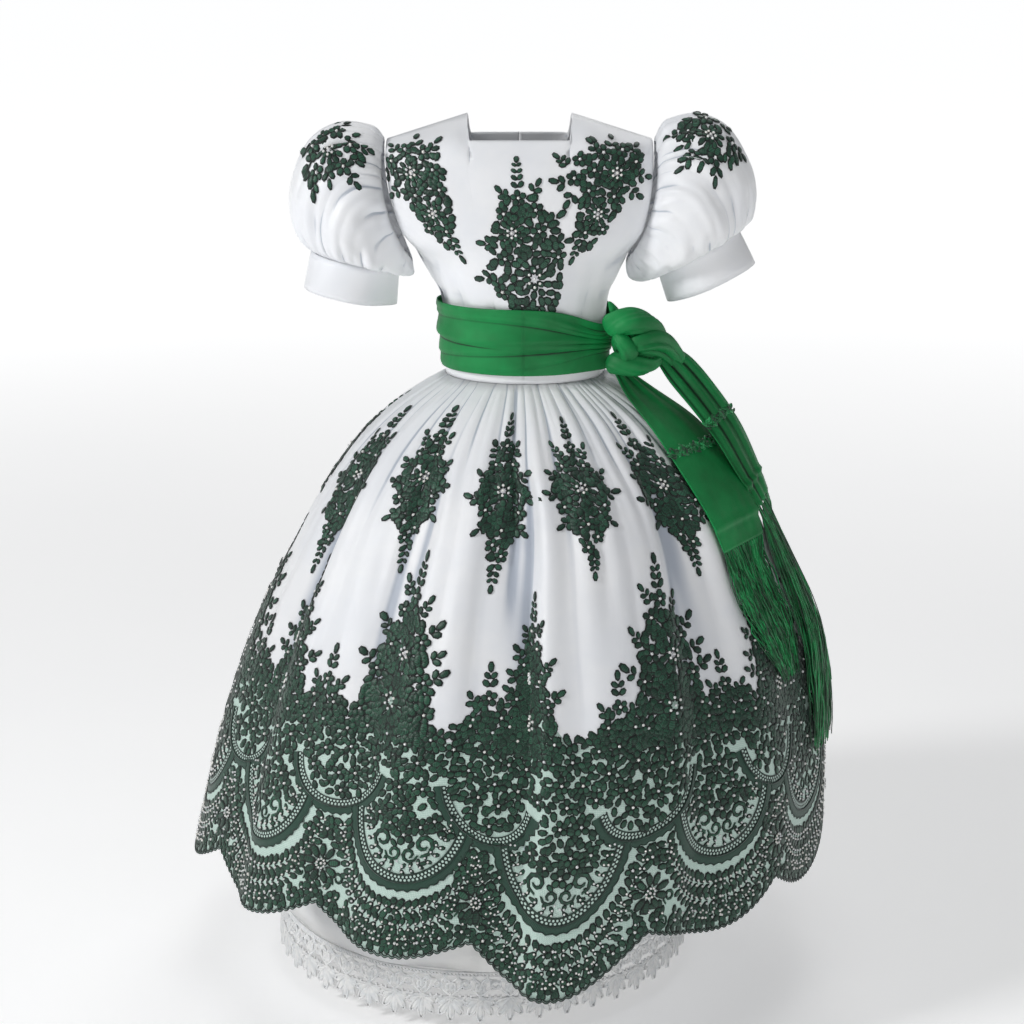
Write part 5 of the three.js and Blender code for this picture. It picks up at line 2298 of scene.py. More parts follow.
    def lower(self, work: Needlework, tip: float, valley: float) -> None:
        """Sews what hangs under the swags of one scallop, and the flower at the valley after it.

        Args:
            work: the lace that it is sewn into.
            tip: angle of the scallop's lowest point.
            valley: angle of the valley.
        """
        half = (valley - tip) * self._per_degree
        work.go(tip, 0.0)
        x, height = self.path(Swag(0.97, 19, 92), half, 60)
        self.garland(work, x, height, 8.4, 1.45)
        x, height = self.path(Swag(0.74, 1, 40), half, 40)
        self.garland(work, x, height, 8.4, 1.25)
        x, height = self.path(Swag(0.5, -14, 2), half, 30)
        self.garland(work, x, height, 8.6, 1.1)
        for up, radius in ((22, 9), (4, 8), (-12, 7)):
            work.flower(0, up, radius)
        self.inside_swag(work)
        x, height = self.path(Swag(0.55, 62, 118), half, 50)
        self.garland(work, x, height, 9.5, 0.85)
        work.go(valley, 0.0)
        for n in range(9):
            way = 90 + n * 40
            c, s = heading(way)
            work.leaf(6 * c, 44 + 6 * s, way, 17, 9.6, 0.5)
            work.pearl(5 * c, 44 + 5 * s, 2.8, 1.5)
        work.flower(0, 44, 6.5)
        for hand in (-1, 1):
            work.sprig(hand * 15, 22, 90 + hand * 60, 1, 0.95)
            work.scroll(hand * 24, 30, 90 - hand * 60, 16, hand)
            work.sprig(hand * 11, 72, 90 + hand * 25, 2)
            work.sprig(hand * 26, 62, 90 + hand * 70, 1)
            work.flower(hand * 22, 78, 8)
        work.flower(0, 82, 8.5)

    def inside_swag(self, work: Needlework) -> None:
        """Sews the flower and the scrolls that sit in the bowl of a deep swag.

        Args:
            work: the lace that it is sewn into.
        """
        work.flower(0, 98, 10.5)
        work.leaf(0, 105, 90, 15, 11)
        for x, y in ((-17, 108), (17, 108), (-31, 116), (31, 116)):
            work.flower(x, y, 8.5)
        for hand in (-1, 1):
            work.scroll(hand * 22, 90, 90 + hand * 20, 24, -hand)
            work.scroll(hand * 9, 79, 90 + hand * 70, 18, hand)
            work.leaf(hand * 6, 84, 90 - hand * 40, 11, 7)
            work.leaf(hand * 33, 104, 90 - hand * 20, 11, 7)
            work.leaf(hand * 20, 70, 90 - hand * 75, 11, 6)
        work.pearl(-3, 70, 2.8)
        work.pearl(3, 66, 2.8)

    def hem_band(self, work: Needlework) -> None:
        """Sews the dense rows of small flowers, curls and leaves along the edge.

        Args:
            work: the lace that it is sewn into.
        """
        spacing = 7.4 * MM / self._per_degree
        angles = np.arange(-90, 270, spacing)
        edge = self.form.hem_at(angles) - self.form.hem_line(angles)
        for n, (angle, low) in enumerate(zip(angles, edge)):
            base = low / MM
            work.go(angle, 0.0)
            shift = work.random.uniform(-1.5, 1.5)
            work.leaf(shift, base + 2.5, 70 + 40 * (n % 2), 11, 8.0)
            if n % 3 == 0:
                work.flower(shift, base + 16, 8.5)
            elif n % 3 == 1:
                work.scroll(shift, base + 14, work.random.uniform(0, 360), 15, 1 if n % 2 else -1)
                work.leaf(shift, base + 20, work.random.uniform(40, 140), 11, 8)
            else:
                work.leaf(shift - 2, base + 10, 130, 11, 8)
                work.leaf(shift + 2, base + 12, 50, 11, 8)
            if n % 2:
                work.leaf(shift, base + 22, 90 + work.random.uniform(-50, 50), 11, 8)
                work.pearl(shift, base + 24, 2.6)

    def point(self, work: Needlework) -> None:
        """Sews one tall point down from its tip.

        Args:
            work: the lace that it is sewn into.
        """
        work.sprig(0, -32, 90, 3)
        work.flower(0, -43, 8.5)
        work.sprig(11, -44, 60, 2, 0.85)
        work.sprig(-13, -58, 120, 2, 0.85)
        work.flower(14, -59, 8.5)
        work.scroll(-7, -66, 150, 14)
        work.scroll(8, -76, 20, 14, -1)
        work.flower(-22, -84)
        work.sprig(-30, -76, 130, 1)
        work.sprig(27, -84, 50, 2, 0.9)
        work.flower(20, -94)
        work.blossom(-4, -98, 18)
        work.sprig(-37, -100, 148, 1)
        work.flower(34, -120)
        work.flower(-33, -122)
        work.sprig(43, -112, 34, 1)
        work.sprig(-43, -118, 150, 1)
        work.blossom(4, -146, 25)
        work.scroll(38, -140, 30, 18, -1)
        work.flower(-40, -152)
        work.flower(44, -160)
        work.filling(profile((0, -2, 2), (-40, -8, 8), (-60, -18, 18), (-90, -29, 29), (-120, -38, 38),
                             (-150, -48, 48), (-180, -54, 54)), -176, -50)

    def low_point(self, work: Needlework) -> None:
        """Sews one of the small points between the tall ones.

        Args:
            work: the lace that it is sewn into.
        """
        work.sprig(0, -22, 90, 2)
        work.flower(0, -34, 8)
        work.sprig(-14, -42, 125, 1, 0.9)
        work.sprig(14, -40, 55, 1, 0.9)
        work.flower(-14, -54)
        work.flower(15, -56)
        work.filling(profile((0, -2, 2), (-26, -8, 8), (-50, -22, 22), (-75, -32, 32)), -74, -38)

    def upper(self, work: Needlework, middles: Sequence) -> None:
        """Fills the body of the border between the points and the swags, more openly lower down.

        Args:
            work: the lace that it is sewn into.
            middles: the swags' middle lines.
        """
        pitch = 29 * MM
        flowers = []
        for row, height in enumerate(np.arange(0.122, 0.215, 0.023)):
            for x in np.arange(-90 * self._per_degree, 270 * self._per_degree, pitch):
                x = x + (row % 2) * pitch / 2 + work.random.uniform(-5, 5) * MM
                flowers.append((x, height + work.random.uniform(-4, 4) * MM))
        swags = np.concatenate([np.stack([angle * self._per_degree + x, height], -1) for angle, x, height in middles])
        flowers = np.array([f for f in flowers if np.hypot(*(swags - f).T).min() > 17 * MM
                            and f[1] < self.body_height(f[0] / self._per_degree) - 4 * MM])
        for x, height in flowers:
            work.go(x / self._per_degree, 0.0)
            work.flower(0, height / MM, work.random.uniform(8, 9.5))
        spacing = 7.6 * MM
        for height in np.arange(0.104, 0.24, spacing):
            for x in np.arange(-90 * self._per_degree, 270 * self._per_degree, spacing):
                spot = np.array([x + work.random.uniform(-2.6, 2.6) * MM, height + work.random.uniform(-2.6, 2.6) * MM])
                angle = spot[0] / self._per_degree
                top = self.body_height(angle)
                if spot[1] > top or work.random.uniform() > 0.84 + 2.4 * (spot[1] - 0.118):
                    continue
                to_flower = np.hypot(*(flowers - spot).T)
                near = flowers[to_flower.argmin()]
                if to_flower.min() < 7.6 * MM or np.hypot(*(swags - spot).T).min() < 11 * MM:
                    continue
                way = math.degrees(math.atan2(spot[1] - near[1], spot[0] - near[0])) + work.random.uniform(-35, 35)
                work.go(angle, 0.0)
                c, s = heading(way)
                work.leaf(-4 * c, spot[1] / MM - 4 * s, way, 11.5, 8.4)

    def body_height(self, angle: Number) -> Array:
        """Height over the hem line of the top of the border's body, in metres along the cloth."""
        wave = 0.006 * np.sin(np.radians(angle * 26))
        return (self.body_top - self.form.hem_line(angle)) * 1.055 + wave

    def ground(self, panel: Panel) -> Array:
        """Grid of the net ground on one panel.

        Args:
            panel: one of the three panels.

        Returns:
            Grid (columns, rows, 3).
        """
        _, first, last = panel.value
        count = int((last - first) * self._per_degree / (self.edge_pitch * MM) * self.net_steps)
        angles = np.linspace(first, last, count)
        rise = sum(bell(wrapped(angles - a), 4.0) for a in self.point_angles) * 0.045
        top = self.body_top - 0.012 + rise
        edge = self.edge(angles)
        down = np.linspace(0, 1, self.net_rows)
        return seamed(self.form.at(angles[:, None], top[:, None] + (edge - top)[:, None] * down))

    def build(self, shop: Workshop) -> None:
        """Makes and dresses the border.

        Args:
            shop: the trees and finishes for lace.
        """
        cords, middles = self.bands(shop)
        work = Needlework(seed=7)
        for tip, valley in zip(self._tips, self._valleys):
            self.lower(work, tip, valley)
        self.hem_band(work)
        self.upper(work, middles)
        tall = Needlework(seed=17)
        for n, (angle, top) in enumerate(zip(self.point_angles, self.point_tops)):
            tall.go(angle, top, tall.random.uniform(-3, 3), 1 if n % 2 else -1, (top + 0.628) / 0.172)
            self.point(tall)
        for n, angle in enumerate(self.low_point_angles):
            tall.go(angle, tall.random.uniform(-0.548, -0.538), 0.0, 1 if n % 2 else -1)
            self.low_point(tall)
        sets = {}
        for key in ("leaves", "scrolls", "curls", "pearls"):
            sets[key] = np.concatenate([work.seats(getattr(work, key), self.form, self.form.hem_line),
                                        tall.seats(getattr(tall, key), self.form)])
        for angle, x, height in middles:
            cords.append(self.place(angle, x, height, 1.3 * MM))
        cords += self.edge_cords()
        cord = shop.spinner.spin("border_cords", cords, self.cord_radius * MM, 3, shop.cord)
        dress(cord, shop.cord, "green_lace")
        extras = self._extras + [cord]
        for key, template, height, finish in shop.motifs():
            piece = shop.sower.sow(f"border_{key}", self.form, sets[key], template, height, finish)
            dress(piece, finish, "green_lace")
            extras.append(piece)
        for panel, (width, length, area) in self.flats.items():
            name = f"border_{panel.label}"
            net = shell(f"{name}_net", self.ground(panel), SATIN_FAR + 0.08 * MM, SATIN_FAR + 0.3 * MM)
            dress(net, shop.tulle, "green_lace", f"lace_{name}")
            mine = sets["leaves"][panel.spans(sets["leaves"][:, 0])]
            leaves = shop.sower.sow(f"{name}_leaves", self.form, mine, leaf_template(), LEAF_HEIGHT * MM, shop.leaf)
            dress(leaves, shop.leaf, "green_lace", f"lace_{name}")

    def edge_cords(self) -> list:
        """The two cords that follow the scalloped edge.

        Returns:
            The points of each cord.
        """
        lines = []
        for panel in self.flats:
            _, first, last = panel.value
            count = int((last - first) * self._per_degree / (self.cord_step * MM))
            angles = np.linspace(first + 0.05, last - 0.05, count)
            for up, lift in ((0.2, -0.2), (2.2, 0.4)):
                edge = self.edge(angles) + up * MM
                point, normal, _, _ = self.form.frame(angles, edge)
                lines.append(point + normal * (LACE_NEAR + lift * MM))
        return lines


# ---- sash ---------------------------------------------------------------------------------------

@dataclass(frozen=True)
class Pleat:
    """Lengthwise pleat of the wound sash: share of the height, wave of its line, height in mm, width."""

    share: float
    wave: float
    phase: float
    height: float
    width: float


@dataclass
class WrapForm(Form):
    """Sash wound round the waist: a is the angle in degrees, b the share of its height from the bottom."""

    rows: tuple = ((-275.5, 90, 76, 0.0), (-236, 91, 77.5, 0.3333), (-202, 93.5, 82, 1.0))
    levels: tuple = (0.0, 0.54, 1.0)
    centre: float = 6.0
    knot: float = 66.0
    droop: tuple = (22.0, 34.0)
    back_drop: float = 4.0
    pull: tuple = (7.0, 13.0)
    gather: float = 52.0
    closeness: float = 0.62
    pleats: tuple = (Pleat(0.08, 0.03, 10, 1.3, 0.14), Pleat(0.27, 0.10, 70, 2.5, 0.20),
                     Pleat(0.45, 0.08, 200, 1.6, 0.16), Pleat(0.60, 0.10, 310, 2.8, 0.20),
                     Pleat(0.80, 0.07, 120, 2.0, 0.17), Pleat(0.95, 0.02, 30, 1.1, 0.10))
    steepness: float = 0.2
    clear: float = 1.3
    a_step = 0.2
    b_step = 0.004

    def at(self, a: Array, b: Array) -> Array:
        """Points of the wrap.

        Args:
            a: angles from the front in degrees.
            b: shares of the height.

        Returns:
            Points in metres, one for each place.
        """
        a, b = np.broadcast_arrays(np.asarray(a, float), np.asarray(b, float))
        z, half, depth, share = np.moveaxis(through(self.levels, np.array(self.rows), b), -1, 0)
        away = wrapped(a - self.knot)
        drop = -self.droop[0] * bell(away, self.droop[1]) - self.back_drop * (1 - np.cos(np.radians(a))) / 2
        near = bell(away, self.gather)
        reach = self.clear + self.pull[0] * bell(away, self.pull[1])
        for pleat in self.pleats:
            middle = pleat.share + pleat.wave * np.sin(np.radians(a + pleat.phase))
            middle = middle + (0.5 - middle) * self.closeness * near
            width = pleat.width * (1 - 0.45 * near)
            reach = reach + pleat.height * (1 + 0.5 * near) * (
                lopsided(b - middle, width * self.steepness, width) - 0.06)
        s, c = np.sin(np.radians(a)), np.cos(np.radians(a))
        return np.stack([self.centre + (half + reach) * s, -(depth + reach) * c, z + share * drop], -1) * MM


@dataclass(frozen=True)
class Roll:
    """One roll of the knot: rows of (x, y, z, half width, half thickness) in mm along its middle."""

    name: str
    path: tuple
    facing: tuple = (0.45, -0.85, 0.25)
    folds: int = 4
    twist: float = 25.0
    depth: float = 0.19
    seed: int = 1
    around: int = 44
    steps: int = 54
    tight: float = 0.55

    def points(self) -> Array:
        """Grid of points, columns round the roll and rows along it.

        Returns:
            Grid (columns, rows, 3) in metres.
        """
        table = np.array(self.path, float)
        last = len(table) - 1
        t = np.linspace(0, last, self.steps)
        line = through(np.arange(last + 1), table, t)
        centre, wide, thick = line[:, :3], line[:, 3], line[:, 4]
        tangent = unit(np.gradient(centre, axis=0))
        facing = np.array(self.facing)
        out = unit(facing - (tangent @ facing)[:, None] * tangent)
        side = np.cross(tangent, out)
        turn = np.arange(self.around) * 360 / self.around
        close = np.clip(np.minimum(t, last - t) / self.tight, 0.02, 1)
        close = np.sqrt(1 - (1 - close) ** 2)
        r = np.random.default_rng(self.seed)
        groove = np.zeros((self.around, self.steps))
        for n in range(self.folds):
            place = n * 360 / self.folds + r.uniform(-18, 18) + self.twist * t
            groove += self.depth * r.uniform(0.7, 1.5) * lopsided(wrapped(turn[:, None] - place), 7.0, 26.0)
        size = (1.08 - groove) * close
        c, s = np.cos(np.radians(turn))[:, None], np.sin(np.radians(turn))[:, None]
        across = (wide * c * size)[..., None] * side
        return (centre + across + (thick * s * size)[..., None] * out) * MM


@dataclass
class StripForm(Form):
    """A tail of the sash: a runs from 0 to 1 across it, b from 0 at the knot to -1 at its end."""

    left: Array = None
    right: Array = None
    outward_hint: Array = None
    folds: tuple = ()
    a_step = 0.01
    b_step = 0.005

    def at(self, a: Array, b: Array) -> Array:
        """Points of the tail.

        Args:
            a: shares of the width.
            b: minus the shares of the length.

        Returns:
            Points in metres, one for each place.
        """
        a, b = np.broadcast_arrays(np.asarray(a, float), np.asarray(b, float))
        knots = np.linspace(0, 1, len(self.left))
        left, right = through(knots, self.left, -b), through(knots, self.right, -b)
        out = through(knots, self.outward_hint, -b)
        lift = np.zeros(a.shape)
        for across_top, across_end, width, high, fades in self.folds:
            middle = across_top + (across_end - across_top) * -b
            lift = lift + high * MM * lopsided(a - middle, width * 0.5, width) * np.exp(b * fades)
        return left + (right - left) * a[..., None] + out * lift[..., None]


@dataclass
class Sash:
    """Green woven sash: the wrap, the knot, two tails and their fringes."""

    skirt: SkirtForm
    wrap: WrapForm = field(default_factory=WrapForm)
    columns: int = 140
    rows: int = 56
    front_rows: tuple = ((-262, 64, 73, 46, 46), (-277, 61, 76, 39, 41), (-300, 56, 80, 23, 30), (-335, 53, 82, 11, 24),
                         (-375, 50, 79, 8, 20), (-415, 50, 75, 7, 15), (-452, 51, 72, 6, 11))
    back_edges: tuple = (((140, -46, -252), (146, -30, -240)), ((150, -48, -266), (157, -22, -248)),
                         ((164, -56, -287), (189, -14, -268)), ((190, -60, -318), (221, -8, -306)),
                         ((216, -62, -352), (247, -2, -345)), ((241, -63, -392), (266, 2, -385)),
                         ((264, -64, -427), (281, 4, -423)))
    front_folds: tuple = ((0.25, 0.2, 0.12, 5.0, 3.0), (0.62, 0.7, 0.14, 6.0, 2.4), (0.9, 0.86, 0.10, 3.0, 1.4))
    back_folds: tuple = ((0.2, 0.14, 0.10, 5.0, 0.6), (0.5, 0.42, 0.13, 7.0, 0.7), (0.82, 0.8, 0.12, 5.0, 0.9))
    front_fringe: tuple = ((-452, 51, 69.5, 7, 10), (-500, 52, 70, 6, 12), (-550, 55, 70, 6, 12),
                           (-598, 60, 67.5, 7, 9))
    back_fringe: tuple = ((-427, 75, 93, 13, 20), (-500, 74.5, 92, 11, 24), (-560, 73, 90, 11, 26),
                          (-620, 70, 86, 9, 20), (-692, 68, 80, 8, 11))
    rolls: tuple = (
        Roll("over", ((92, -64, -226, 13, 6), (106, -72, -219, 14, 8), (122, -72, -217, 15, 10),
                      (138, -60, -223, 14, 10), (149, -46, -237, 12, 9), (152, -36, -254, 9, 7)), folds=7, seed=3),
        Roll("under", ((94, -66, -262, 11, 6), (108, -74, -262, 13, 8), (124, -73, -262, 15, 10),
                       (140, -60, -262, 13, 9), (152, -44, -256, 10, 7)), folds=7, twist=-30, seed=5),
        Roll("bight", ((118, -70, -243, 9, 5), (130, -72, -240, 12, 9), (144, -60, -241, 14, 11),
                       (157, -44, -249, 14, 11), (168, -34, -262, 13, 8),
                       (176, -30, -276, 12, 5)), folds=6, twist=14, seed=8),
        Roll("band", ((103, -68, -228, 6, 4), (112, -76, -238, 9, 7), (118, -77, -250, 10, 8), (116, -70, -264, 9, 6),
                      (112, -60, -274, 7, 4)), folds=3, twist=20, seed=9),
        Roll("core", ((100, -50, -244, 10, 9), (112, -52, -243, 19, 14), (126, -50, -243, 22, 17),
                      (142, -42, -246, 15, 12), (152, -36, -250, 8, 6)), folds=3, seed=13),
        Roll("tip", ((108, -62, -220, 7, 4), (104, -64, -210, 6, 3.2), (99, -64, -201, 3.5, 2),
                     (96, -64, -196, 1, 0.8)), folds=2, seed=11, steps=24, tight=0.4))
    band_at: float = 0.60
    hem_at: float = 0.89
    tufts: int = 72
    bunches: int = 17
    yarns: int = 17
    yarn_steps: int = 20
    yarn_radius: float = 0.66
    wrap_flat: tuple = (0.58, 0.14, 0.052)
    tail_flats: tuple = ((0.11, 0.21, 0.021), (0.08, 0.21, 0.0155))

    def strip(self, rows: Sequence) -> StripForm:
        """Tail that lies over the skirt, from rows of (z, from, to, off from, off to).

        Args:
            rows: heights and offs in mm, from and to in degrees.

        Returns:
            The tail's form, without folds.
        """
        table = np.array(rows, float)
        edges = []
        for angle, off in ((table[:, 1], table[:, 3]), (table[:, 2], table[:, 4])):
            point = self.skirt.at(angle, table[:, 0] * MM)
            way = outwards(angle)
            edges.append((point + way * (1.5 + off)[:, None] * MM, way))
        out = unit(edges[0][1] + edges[1][1] + np.array([0, 0, 0.8]))
        return StripForm(left=edges[0][0], right=edges[1][0], outward_hint=out)

    def build(self, shop: Workshop, cloth: bpy.types.Material, strands: bpy.types.Material) -> None:
        """Makes and dresses the whole sash.

        Args:
            shop: the trees and finishes for lace.
            cloth: the sash's cloth.
            strands: the fringe's thread.
        """
        angles = np.arange(self.columns)[:, None] * 360 / self.columns
        share = np.linspace(1, 0, self.rows)
        wrap = shell("sash_wrap_cloth", self.wrap.at(angles, share), 0.4 * MM, 1.9 * MM, closed=True)
        dress(wrap, cloth, "sash_cloth", "sash_wrap")
        for roll in self.rolls:
            points = roll.points()
            # Painted shade: how deep each point of the roll lies in a fold, by which the sash cloth's colour is
            # darkened.
            deep = hollows(points, grid_normals(points, True), True)
            piece = mesh_piece(f"sash_knot_{roll.name}", points.reshape(-1, 3),
                               [grid_faces(roll.around, roll.steps, closed=True)], self.roll_uv(points),
                               {"hollow": deep.ravel()})
            dress(piece, cloth, "sash_cloth", "sash_knot")
        front = self.strip(self.front_rows)
        front.folds = self.front_folds
        inner = np.array([edge[0] for edge in self.back_edges], float) * MM
        outer = np.array([edge[1] for edge in self.back_edges], float) * MM
        line = np.gradient((inner + outer) / 2, axis=0)
        back = StripForm(left=inner, right=outer, outward_hint=-unit(np.cross(outer - inner, line)),
                         folds=self.back_folds)
        for label, form, rows, flat, seed in (("front", front, self.front_fringe, self.tail_flats[0], 41),
                                              ("back", back, self.back_fringe, self.tail_flats[1], 42)):
            self.tail(label, form, rows, seed, shop, cloth, strands)

    def roll_uv(self, points: Array) -> Array:
        """Flat coordinates of a roll in metres.

        Args:
            points: the roll's grid.

        Returns:
            One pair for each point.
        """
        along = measured(points.mean(0))
        girth = np.linalg.norm(np.roll(points, -1, 0) - points, axis=-1).sum(0).max()
        u = np.arange(points.shape[0])[:, None] / points.shape[0] * girth
        return np.stack(np.broadcast_arrays(u, -along), -1).reshape(-1, 2)

    def tail(self, label: str, form: StripForm, rows: Sequence, seed: int, shop: Workshop,
             cloth: bpy.types.Material, strands: bpy.types.Material) -> None:
        """Makes one tail with its openwork band, its turned hem and its fringe.

        Args:
            label: front or back.
            form: the tail's form.
            rows: the fringe's table.
            seed: seed of its random numbers.
            shop: the trees and finishes for lace.
            cloth: the sash's cloth.
            strands: the fringe's thread.
        """
        across, down = np.linspace(0, 1, 40)[:, None], np.linspace(0, 1, 84)
        band = bell(down - self.band_at, 0.022)
        hem = 2.0 * MM * bell(down - self.hem_at, 0.012) - 0.5 * MM * bell(down - self.hem_at - 0.025, 0.008)
        points = form.at(across, -down)
        far = np.broadcast_to(1.2 * MM - 0.5 * MM * band + np.maximum(hem, -0.4 * MM), points.shape[:2])
        piece = shell(f"sash_tail_{label}_cloth", points, 0.0, far)
        dress(piece, cloth, "sash_cloth", f"sash_tail_{label}")
        r = np.random.default_rng(seed)
        seats = []
        for n in range(self.tufts):
            lean = 0.9 if n % 2 else -0.9
            seats.append(((n + 0.5) / self.tufts, -0.588 - 0.022 * (n % 3) / 2 + r.uniform(-0.005, 0.005),
                          math.pi / 2 + lean + r.uniform(-0.4, 0.4), 9.5 * MM, 3.0 * MM, 1.0 * MM, r.uniform(0, 1)))
        tufts = shop.sower.sow(f"sash_band_{label}", form, np.array(seats), leaf_template(), 1.3 * MM, strands)
        dress(tufts, strands, "sash_cloth")
        self.fringe(label, form, rows, seed, shop, strands)

    def fringe(self, label: str, form: StripForm, rows: Sequence, seed: int, shop: Workshop,
               strands: bpy.types.Material) -> None:
        """Makes the knotted strands at a tail's end.

        Args:
            label: front or back.
            form: the tail's form.
            rows: height in mm, first and last angle, and offs in mm, from top to end.
            seed: seed of its random numbers.
            shop: the trees and finishes for lace.
            strands: the fringe's thread.
        """
        r = np.random.default_rng(seed + 10)
        table = np.array(rows, float)
        knots = np.linspace(0, 1, len(table))
        lines, thick = [], []
        t = np.linspace(0, 1, self.yarn_steps)
        for bunch in range(self.bunches):
            root = (bunch + 0.5) / self.bunches
            drift = r.uniform(-0.12, 0.12)
            for _ in range(self.yarns):
                reach = r.uniform(0.72, 1.0) if root > 0.25 else r.uniform(0.8, 1.0)
                down = t * reach
                wander = r.normal(0, 0.08) * t + drift * t
                wave = r.uniform(0.02, 0.085) * np.sin(t * r.uniform(5, 13) + r.uniform(0, 6)) * np.minimum(1, t * 4)
                wave = wave + r.uniform(0.008, 0.022) * np.sin(t * r.uniform(24, 44) + r.uniform(0, 6))
                across = np.clip(root + wander + wave + r.normal(0, 0.006), -0.08, 1.16)
                z, first, second, near, far = np.moveaxis(through(knots, table, down), -1, 0)
                angle = first + (second - first) * across
                layer = r.uniform(0, 1)
                off = near + (far - near) * layer + r.uniform(0.6, 2.6) * np.sin(t * r.uniform(3, 8) + r.uniform(0, 6))
                base = self.skirt.at(angle, z * MM)
                strand = base + outwards(angle) * (off * MM)[:, None]
                start = form.at(np.array(root), np.array(-0.985))
                pull = np.exp(-(t / 0.10) ** 2)[:, None]
                lines.append(strand + (start - strand[0]) * pull)
                thick.append(1.25 - 0.55 * t)
        piece = shop.spinner.spin(f"sash_fringe_{label}_strands", lines, self.yarn_radius * MM, 3, strands, thick,
                                  r.uniform(0, 1, len(lines)))
        dress(piece, strands, "sash_fringe", f"sash_fringe_{label}")


@dataclass(frozen=True)
class Strand:
    """Shiny fringe thread whose tone changes from strand to strand."""

    dark: Colour = (2, 44, 21)
    light: Colour = (34, 170, 94)
    roughness: float = 0.42

    def make(self, effects: Effects) -> bpy.types.Material:
        """Builds the material.

        Args:
            effects: the shared node groups.

        Returns:
            The material.
        """
        draft = MaterialDraft("sash_strand", Roughness=self.roughness, Specular_IOR_Level=0.5, Sheen_Weight=0.15)
        graph = draft.graph
        shade = graph.add("ShaderNodeAttribute", attribute_name="shade").outputs["Fac"]
        tone = effects.use(graph, effects.mottle, {"Vector": draft.place, "Scale": 60.0})
        mixed = graph.maths("MULTIPLY", shade, graph.spread(tone, 0, 1, 0.55, 1.25))
        draft.feed("Base Color", graph.blend(mixed, rgba(self.dark), rgba(self.light)))
        twist = graph.add("ShaderNodeTexWave", {"Vector": draft.place, "Scale": 900.0}, bands_direction="DIAGONAL")
        draft.bump([(twist.outputs["Fac"], 0.25, 0.0001)])
        return draft.material


# ---- underskirt trim ----------------------------------------------------------------------------

